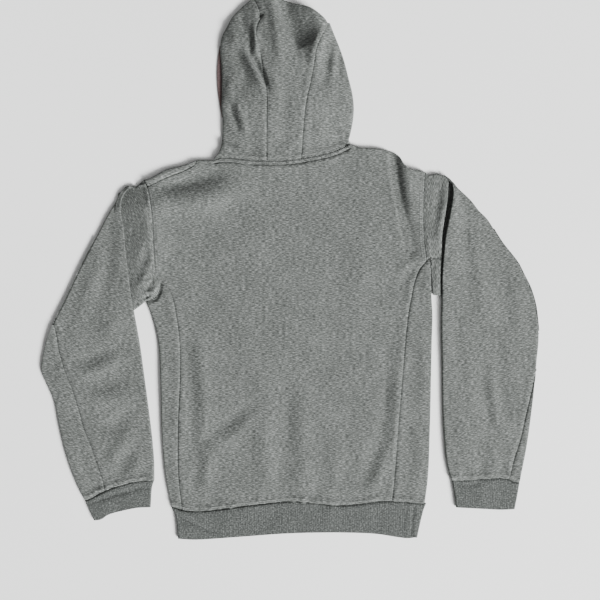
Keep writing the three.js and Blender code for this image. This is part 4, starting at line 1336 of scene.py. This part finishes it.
WAIST_END = Curve([(-208, -504), (-175, -505.5), (-89, -500), (-4, -494), (93, -492), (167, -493),
                   (213, -498), (236, -502)])
WAIST_SIDE_SEAM = Curve([(229, -446), (226, -474), (223, -501)])
WAISTBAND = Band(
    name="waistband",
    outer=Curve([(-220.5, -445), (-214, -457), (-211, -470), (-208, -504)]),
    inner=Curve([(253, -438.5), (249, -448), (244, -466), (236, -502)]),
    seam=HEM_SEAM,
    end=WAIST_END,
    end_beneath=Curve([(-208, -504), (-175, -504), (-89, -499), (-4, -494), (93, -493.5), (160, -496),
                       (200, -502), (218, -504), (236, -502)]),
    folds=(
        Fold(((-216, -455), (-190, -470), (-157, -487), (-140, -494)), 3.6, -2.4, 0.4),
        Fold(((-206, -452), (-184, -462), (-152, -478)), 6, 1.6),
        Fold(((-205, -480), (-190, -486), (-176, -500)), 8, 1.0),
        Fold(((-120, -452), (-116, -470), (-118, -494)), 12, 0.8),
        Fold(((-30, -446), (-34, -466), (-30, -490)), 14, -0.8),
        Fold(((70, -446), (74, -466), (70, -488)), 14, 0.8),
        Fold(((160, -446), (164, -470), (160, -490)), 12, -0.8),
    ),
    seams=(Seam(WAIST_SIDE_SEAM, 1.2, 0.6, 0.2),),
    grain=0.0,
)
CUFF_LEFT_END = Curve([(-364, -470), (-350, -468), (-336.7, -459.4), (-308.8, -451.6), (-281.8, -446.4),
                       (-258.5, -445.5)])
CUFF_LEFT = Band(
    name="cuff_left",
    outer=Curve([(-380, -433.5), (-373, -450), (-364, -470)]),
    inner=Curve([(-252, -396), (-255.8, -408), (-258.5, -445.5)]),
    seam=LEFT_CUFF,
    end=CUFF_LEFT_END,
    end_beneath=CUFF_LEFT_END.moved(0, 1.2),
    folds=(
        Fold(((-378, -440), (-353, -432), (-324, -423), (-291, -414), (-262, -408)), 4.5, -1.6, 0.3),
        Fold(((-340, -430), (-336, -444), (-338, -458)), 8, 1.0),
    ),
    seams=(),
    grain=14.0,
)
CUFF_RIGHT_END = Curve([(417, -449), (390, -450), (360, -448.5), (330, -447), (308, -446)])
CUFF_RIGHT = Band(
    name="cuff_right",
    outer=Curve([(426, -401), (422, -424), (417, -449)]),
    inner=Curve([(300, -395), (304.5, -420), (308, -446)]),
    seam=RIGHT_CUFF,
    end=CUFF_RIGHT_END,
    end_beneath=CUFF_RIGHT_END.moved(0, 1.4),
    folds=(
        Fold(((306, -402), (330, -404), (356, -400)), 4, -1.6),
        Fold(((352, -410), (356, -428), (352, -446)), 9, 0.9),
    ),
    seams=(),
    grain=-3.0,
)


# ---- stitches --------------------------------------------------------------------------------------------
@dataclass(frozen=True)
class Stitching:
    """Rows of topstitches beside a seam, each stitch a small bead that lies in the cloth."""

    name: str
    seam: Curve
    rows: tuple[float, ...]  # how far each row lies to the left of the way the seam runs
    height: Height
    pitch: float = 3.4  # from stitch to stitch
    long: float = 2.5  # length of a stitch
    thick: float = 0.42  # and its radius
    above: float = 0.12  # how far its middle lies above the cloth
    sides: int = 6
    # the bead's rings: where along its length each lies, and its share of the full radius
    ends: tuple[Row, ...] = ((-0.5, 0.45), (-0.28, 1.0), (0.28, 1.0), (0.5, 0.45))

    def bead(self, place: Array, run: Array, top: float) -> list[list[float]]:
        """Works out the corners of one stitch.

        Args:
            place: its middle.
            run: the way it runs, one millimetre long.
            top: height of the cloth there.

        Returns:
            The corners, ring by ring.
        """
        corners = []
        for step, size in self.ends:
            x, y = place + run * self.long * step
            for angle in np.linspace(0, 2 * math.pi, self.sides + 1)[:-1]:
                side = math.cos(angle) * self.thick * size
                up = math.sin(angle) * self.thick * size
                corners.append([x - run[1] * side, y + run[0] * side, top + self.above + up])
        return corners

    def bead_faces(self, start: int) -> list[list[int]]:
        """Lists the faces of one stitch.

        Args:
            start: the number of its first corner.

        Returns:
            The corners' numbers, face by face.
        """
        count, faces = self.sides, []
        for ring_start in range(start, start + (len(self.ends) - 1) * count, count):
            for k in range(count):
                a, b = ring_start + k, ring_start + (k + 1) % count
                faces.append([a, b, b + count, a + count])
        last = start + (len(self.ends) - 1) * count
        return [*faces, [start + k for k in range(count - 1, -1, -1)], [last + k for k in range(count)]]

    def build(self) -> bpy.types.Object:
        """Makes every stitch.

        Returns:
            The stitches, as one piece.
        """
        verts: list[list[float]] = []
        faces: list[list[int]] = []
        for off in self.rows:
            line = self.seam.beside(off)
            count = int(line.length / self.pitch)
            middle = line.at((np.arange(count) + 0.5) / count)
            way = line.at((np.arange(count) + 0.7) / count) - middle
            way /= np.linalg.norm(way, axis=1, keepdims=True)
            for place, run, top in zip(middle, way, self.height(middle)):
                faces += self.bead_faces(len(verts))
                verts += self.bead(place, run, top)
        mesh = bpy.data.meshes.new(self.name)
        mesh.from_pydata((np.array(verts) * MM).tolist(), [], faces)
        mesh.polygons.foreach_set("use_smooth", np.ones(len(faces), bool))
        mesh.update()
        return in_scene(self.name, mesh)


STITCHING = (
    Stitching("stitching_neck", NECK_SEAM, (-1.3, -5.4), TORSO.height),
    Stitching("stitching_armhole_left", ARMHOLE_LEFT, (-2.6, -7.2), TORSO.height),
    Stitching("stitching_armhole_right", ARMHOLE_RIGHT, (2.6, 7.2), TORSO.height),
    Stitching("stitching_shoulder", SHOULDER_SEAM_LEFT.part((-263, 149), (-178, 189)), (-2.4,),
              TORSO.height),
    Stitching("stitching_hem", HEM_SEAM.part((-214, -447), (248, -438)), (2.6, 6.6), TORSO.height),
    Stitching("stitching_cuff_left", LEFT_CUFF.part((-370, -430), (-258, -396)), (2.6,),
              LEFT_SLEEVE.tube_relief().height),
    Stitching("stitching_cuff_right", RIGHT_CUFF.part((416, -399), (306, -395)), (-2.6,),
              RIGHT_SLEEVE.tube_relief().height),
)


# ---- finishes --------------------------------------------------------------------------------------------
def linear(colour: str) -> tuple[float, float, float, float]:
    """The linear colour, with full alpha, of an sRGB hex value."""
    parts = [int(colour[i : i + 2], 16) / 255 for i in (1, 3, 5)]
    return (*(c / 12.92 if c <= 0.04045 else ((c + 0.055) / 1.055) ** 2.4 for c in parts), 1.0)


def add(
    tree: bpy.types.NodeTree, kind: str, inputs: dict | None = None, **settings: object
) -> bpy.types.Node:
    """Adds a node.

    Args:
        tree: the tree it goes into.
        kind: its type, without the ShaderNode at the front.
        inputs: a value or an output socket for each of its sockets.
        settings: its own settings.

    Returns:
        The node.
    """
    made = tree.nodes.new("ShaderNode" + kind)
    for key, value in settings.items():
        setattr(made, key, value)
    for key, value in (inputs or {}).items():
        if isinstance(value, bpy.types.NodeSocket):
            tree.links.new(value, made.inputs[key])
        else:
            made.inputs[key].default_value = value
    return made


Stops = tuple[tuple[float, str], ...]


def blank(name: str) -> tuple[bpy.types.Material, bpy.types.NodeTree]:
    """Makes a new material with nothing in it.

    Args:
        name: its name.

    Returns:
        The material and its empty tree.
    """
    made = bpy.data.materials.new(name)
    made.use_nodes = True
    made.node_tree.nodes.clear()
    return made, made.node_tree


def finish_with(tree: bpy.types.NodeTree, inputs: dict) -> None:
    """Ends a material with its shader.

    Args:
        tree: the material's tree.
        inputs: a value or an output socket for each of the shader's sockets.
    """
    shader = add(tree, "BsdfPrincipled", inputs)
    out = add(tree, "OutputMaterial")
    tree.links.new(shader.outputs[0], out.inputs["Surface"])


def ramp(tree: bpy.types.NodeTree, factor: bpy.types.NodeSocket, stops: Stops) -> bpy.types.NodeSocket:
    """Adds a colour ramp.

    Args:
        tree: the tree it goes into.
        factor: what it runs along.
        stops: its places and colours.

    Returns:
        Its colour.
    """
    made = add(tree, "ValToRGB", {"Fac": factor})
    elements = made.color_ramp.elements
    while len(elements) < len(stops):
        elements.new(0.5)
    for element, (place, colour) in zip(elements, stops):
        element.position = place
        element.color = linear(colour)
    return made.outputs["Color"]


@dataclass(frozen=True)
class Marl:
    """Grey heather knit: pale and dark fibres spun together show as short flecks along the courses."""

    name: str
    stops: Stops
    fleck: Row = (6.2, 1.15)  # length and thickness; real ones are finer, drawn as coarse as they show
    patch: Row = (13.0, 3.0)  # of a group of flecks
    cloud: Row = (52.0, 52.0)  # of the slow change over the cloth
    patch_share: float = 0.18
    cloud_share: float = 0.06
    rough: float = 0.62  # how much the finer grains of each pattern count
    sway: float = 5.0  # how far the courses wander
    drift: float = 38.0  # scale of that wandering, about one bend in 26 mm
    nap: float = 0.9  # roughness
    sheen: float = 0.22
    sheen_tint: str = "#c9cccb"
    relief: float = 0.35  # strength of the flecks' bump
    bump: float = 0.6  # and its height
    rib: float = 0.0  # pitch of the rib's wales, or 0 for none
    wale_shade: Row = (0.91, 1.03)  # shade in the rib's grooves and on its wales
    wave_pitch: float = 0.31416  # pitch of a wave texture of scale 1, in metres

    def build(self) -> bpy.types.Material:
        """Makes the material.

        Returns:
            The material.
        """
        made, tree = blank(self.name)
        uv = add(tree, "UVMap", uv_map="Cloth").outputs["UV"]
        flecks, colour = self.heather(tree, uv)
        height = flecks
        if self.rib:
            colour, height = self.ribbed(tree, uv, colour, flecks)
        bump = add(tree, "Bump", {"Strength": self.relief, "Distance": self.bump * MM, "Height": height})
        finish_with(tree, {
            "Base Color": colour,
            "Roughness": self.nap,
            "IOR": 1.46,
            "Specular IOR Level": 0.25,
            "Sheen Weight": self.sheen,
            "Sheen Roughness": 0.45,
            "Sheen Tint": linear(self.sheen_tint),
            "Normal": bump.outputs["Normal"],
        })
        return made

    def heather(
        self, tree: bpy.types.NodeTree, uv: bpy.types.NodeSocket
    ) -> tuple[bpy.types.NodeSocket, bpy.types.NodeSocket]:
        """Adds the flecks along courses that wander a little.

        Args:
            tree: the tree they go into.
            uv: places on the flat cloth.

        Returns:
            The flecks as a height, and the colour.
        """
        drift = add(tree, "TexNoise", {"Vector": uv, "Scale": self.drift, "Detail": 1.0})
        bend = add(tree, "VectorMath", {0: drift.outputs["Color"], 1: (self.sway * MM,) * 3},
                   operation="MULTIPLY")
        course = add(tree, "VectorMath", {0: uv, 1: bend.outputs[0]}, operation="ADD").outputs[0]
        values = []
        for size, detail in ((self.fleck, 2.5), (self.patch, 2.0), (self.cloud, 1.0)):
            scale = (1 / (size[0] * MM), 1 / (size[1] * MM), 1.0)
            place = add(tree, "Mapping", {"Vector": course, "Scale": scale})
            noise = add(tree, "TexNoise", {"Vector": place.outputs["Vector"], "Scale": 1.0, "Detail": detail,
                                           "Roughness": self.rough})
            values.append(noise.outputs["Fac"])
        grouped = add(tree, "Mix", {0: self.patch_share, 2: values[0], 3: values[1]}).outputs[0]
        clouded = add(tree, "Mix", {0: self.cloud_share, 2: grouped, 3: values[2]}).outputs[0]
        return values[0], ramp(tree, clouded, self.stops)

    def ribbed(
        self,
        tree: bpy.types.NodeTree,
        uv: bpy.types.NodeSocket,
        colour: bpy.types.NodeSocket,
        flecks: bpy.types.NodeSocket,
    ) -> tuple[bpy.types.NodeSocket, bpy.types.NodeSocket]:
        """Adds upright wales, with the grooves between them in shade.

        Args:
            tree: the tree they go into.
            uv: places on the flat cloth.
            colour: the knit's colour.
            flecks: the knit's height.

        Returns:
            The colour and the height with the wales.
        """
        wale = add(tree, "TexWave", {"Vector": uv, "Scale": self.wave_pitch / (self.rib * MM),
                                     "Distortion": 0.5, "Detail": 1.0, "Detail Scale": 2.0})
        groove = add(tree, "MapRange", {"Value": wale.outputs["Fac"], "To Min": self.wale_shade[0],
                                        "To Max": self.wale_shade[1]})
        shaded = add(tree, "Mix", {0: 1.0, 6: colour, 7: groove.outputs["Result"]}, data_type="RGBA",
                     blend_type="MULTIPLY")
        height = add(tree, "Mix", {0: 0.7, 2: flecks, 3: wale.outputs["Fac"]})
        return shaded.outputs[2], height.outputs[0]


FLEECE = Marl(
    # brushed cotton-polyester fleece, jersey side out: matt, with a faint bloom at grazing angles
    name="brushed_marl_fleece",
    stops=((0.39, "#333533"), (0.465, "#494c4a"), (0.525, "#575a57"), (0.61, "#7e817f")),
)
RIB = Marl(
    # two-by-two rib knit with elastane: smoother and a little darker, with fine upright wales
    name="marl_rib_knit",
    stops=((0.36, "#2d302e"), (0.47, "#414442"), (0.54, "#4d504e"), (0.66, "#6d706e")),
    fleck=(3.4, 2.4),
    relief=0.5,
    rib=3.3,
)
JERSEY = Marl(
    # thin single jersey of the hood's lining: flat and dark, hardly any nap
    name="lining_jersey",
    stops=((0.36, "#46393a"), (0.5, "#554646"), (0.66, "#685757")),
    fleck=(3.0, 2.0),
    sheen=0.1,
    relief=0.2,
)


@dataclass(frozen=True)
class Thread:
    """Spun polyester sewing thread: round, with a soft gleam and a twist too fine to see."""

    stops: Stops = ((0.35, "#4c4f4d"), (0.65, "#666967"))
    scale: float = 420.0  # a change of shade every 2.4 mm, about a stitch
    roughness: float = 0.62

    def build(self) -> bpy.types.Material:
        """Makes the material.

        Returns:
            The material.
        """
        made, tree = blank("polyester_thread")
        place = add(tree, "TexCoord").outputs["Object"]
        noise = add(tree, "TexNoise", {"Vector": place, "Scale": self.scale, "Detail": 1.0})
        colour = ramp(tree, noise.outputs["Fac"], self.stops)
        finish_with(tree, {"Base Color": colour, "Roughness": self.roughness})
        return made


@dataclass(frozen=True)
class Table:
    """Matt white painted board under the garment: even, with hardly any change of shade."""

    stops: Stops = ((0.3, "#f2f3f2"), (0.7, "#f7f8f7"))
    scale: float = 1.6  # a change of shade every 0.6 m
    roughness: float = 0.9

    def build(self) -> bpy.types.Material:
        """Makes the material.

        Returns:
            The material.
        """
        made, tree = blank("matt_white_paint")
        place = add(tree, "TexCoord").outputs["Object"]
        noise = add(tree, "TexNoise", {"Vector": place, "Scale": self.scale, "Detail": 1.0})
        colour = ramp(tree, noise.outputs["Fac"], self.stops)
        finish_with(tree, {"Base Color": colour, "Roughness": self.roughness})
        return made


# ---- the set ---------------------------------------------------------------------------------------------
class LampKind(Enum):
    """The kinds of lamp in the set."""

    SUN = "SUN"  # even light from far away
    AREA = "AREA"  # a square soft light


@dataclass(frozen=True)
class Lamp:
    """A lamp that looks at the garment's middle."""

    name: str
    kind: LampKind
    place: Place
    size: float  # degrees over which a sun spreads, or metres along the side of a soft light
    power: float

    def build(self) -> None:
        """Makes the lamp."""
        data = bpy.data.lights.new(self.name, self.kind.value)
        if self.kind is LampKind.SUN:
            data.angle = math.radians(self.size)
        else:
            data.size = self.size
        data.energy = self.power
        made = in_scene(self.name, data)
        made.location = self.place
        away = np.array(self.place) / np.linalg.norm(self.place)
        made.rotation_euler = (math.acos(away[2]), 0.0, math.atan2(away[1], away[0]) + math.pi / 2)


@dataclass(frozen=True)
class Studio:
    """A pale floor, soft light from the lower right, and a camera that looks straight down."""

    over: Row = (18.6, -61.4)  # the camera's place over the garment
    up: float = 1.6  # its height, in metres
    half_width: float = 0.558  # half of what it sees across, in metres
    sensor: float = 36.0
    floor_size: float = 9.0
    floor_drop: float = 0.0006  # how far the floor lies below the garment
    lamps: tuple[Lamp, ...] = (
        Lamp("key", LampKind.SUN, (2.0, -1.95, 1.55), 20.0, 10.2),
        Lamp("fill", LampKind.AREA, (1.7, -1.1, 1.7), 1.6, 52.0),
    )
    sky: str = "#f6f6f6"
    sky_power: float = 0.30

    def build(self) -> None:
        """Makes the floor, the lights and the camera."""
        self.floor()
        for lamp in self.lamps:
            lamp.build()
        world = bpy.data.worlds.new("studio")
        world.use_nodes = True
        background = world.node_tree.nodes["Background"]
        background.inputs["Color"].default_value = linear(self.sky)
        background.inputs["Strength"].default_value = self.sky_power
        bpy.context.scene.world = world
        data = bpy.data.cameras.new("camera")
        data.sensor_width = self.sensor
        data.lens = self.sensor * self.up / (2 * self.half_width)
        camera = in_scene("camera", data)
        camera.location = (self.over[0] * MM, self.over[1] * MM, self.up)
        bpy.context.scene.camera = camera

    def floor(self) -> None:
        """Makes the floor."""
        bpy.ops.object.select_all(action="DESELECT")
        bpy.ops.mesh.primitive_plane_add(size=self.floor_size, location=(0, 0, -self.floor_drop))
        floor = bpy.context.object
        floor.name = "floor"
        floor.data.materials.append(Table().build())
        bpy.ops.object.transform_apply(location=True, rotation=True, scale=True)
        floor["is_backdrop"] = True


# ---- the whole -------------------------------------------------------------------------------------------
@dataclass(frozen=True)
class Sheet:
    """A piece of cloth: the node that it stands for, and the cut that it was before it was laid."""

    build: Callable[[], bpy.types.Object]
    node: str
    finish: Finish
    flat: Row  # width and length, in metres
    area: float  # in square metres
    rests_on: tuple[str, ...] = ()

    def place(self, material: bpy.types.Material, origin: Matrix) -> None:
        """Makes the piece, dresses it, and hides the frame's part that it stands for.

        Args:
            material: its finish.
            origin: where the frame's own origin lies.
        """
        piece = self.build()
        ride(piece, material, origin)
        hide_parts(self.node)


def ride(piece: bpy.types.Object, material: bpy.types.Material, origin: Matrix) -> None:
    """Puts a piece on the garment's only body.

    Args:
        piece: the piece.
        material: what it is dressed in.
        origin: where the frame's own origin lies.
    """
    piece.data.transform(origin)
    piece.data.materials.append(material)
    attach(piece, "root")
    log.info("%s: %d faces", piece.name, len(piece.data.polygons))


def sheets() -> tuple[Sheet, ...]:
    """Lists the pieces of cloth in the order in which they are made.

    Returns:
        The pieces, those beneath before those that rest on them.
    """
    body, hood, fleece, rib = Body(), Hood(), Finish.FLEECE, Finish.RIB
    return (
        Sheet(body.front, "front_panel", fleece, (0.52, 0.68), 0.28),
        Sheet(body.back, "back_panel", fleece, (0.52, 0.68), 0.30, ("front_panel_cloth",)),
        Sheet(body.left, "side_panel_left", fleece, (0.08, 0.43), 0.028),
        Sheet(body.right, "side_panel_right", fleece, (0.13, 0.46), 0.05),
        Sheet(LEFT_SLEEVE.front, "sleeve_left_front", fleece, (0.25, 0.63), 0.09),
        Sheet(LEFT_SLEEVE.back, "sleeve_left_back", fleece, (0.26, 0.63), 0.09),
        Sheet(RIGHT_SLEEVE.front, "sleeve_right_front", fleece, (0.25, 0.60), 0.09),
        Sheet(RIGHT_SLEEVE.back, "sleeve_right_back", fleece, (0.26, 0.60), 0.1),
        Sheet(hood.left, "hood_left", fleece, (0.2, 0.36), 0.05),
        Sheet(hood.right, "hood_right", fleece, (0.2, 0.36), 0.042),
        Sheet(hood.centre, "hood_centre", fleece, (0.14, 0.42), 0.04),
        Sheet(hood.lining, "hood_lining_edge", Finish.LINING, (0.028, 0.14), 0.0036),
        Sheet(WAISTBAND.build, "waistband", rib, (0.06, 0.94), 0.052),
        Sheet(CUFF_LEFT.build, "cuff_left", rib, (0.05, 0.26), 0.012),
        Sheet(CUFF_RIGHT.build, "cuff_right", rib, (0.055, 0.26), 0.012),
    )


def main() -> None:
    """Builds the hoodie round the frame, piece by piece."""
    logging.basicConfig(level=logging.INFO, format="%(message)s")
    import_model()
    cad_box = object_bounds()
    Studio().build()
    low, high = cad_box
    origin = Matrix.Translation(((low[0] + high[0]) / 2, (low[1] + high[1]) / 2, low[2]))
    finishes = {Finish.FLEECE: FLEECE.build(), Finish.RIB: RIB.build(), Finish.LINING: JERSEY.build()}
    thread = Thread().build()
    for sheet in sheets():
        sheet.place(finishes[sheet.finish], origin)
    for rows in STITCHING:
        ride(rows.build(), thread, origin)


if __name__ == "__main__":
    main()
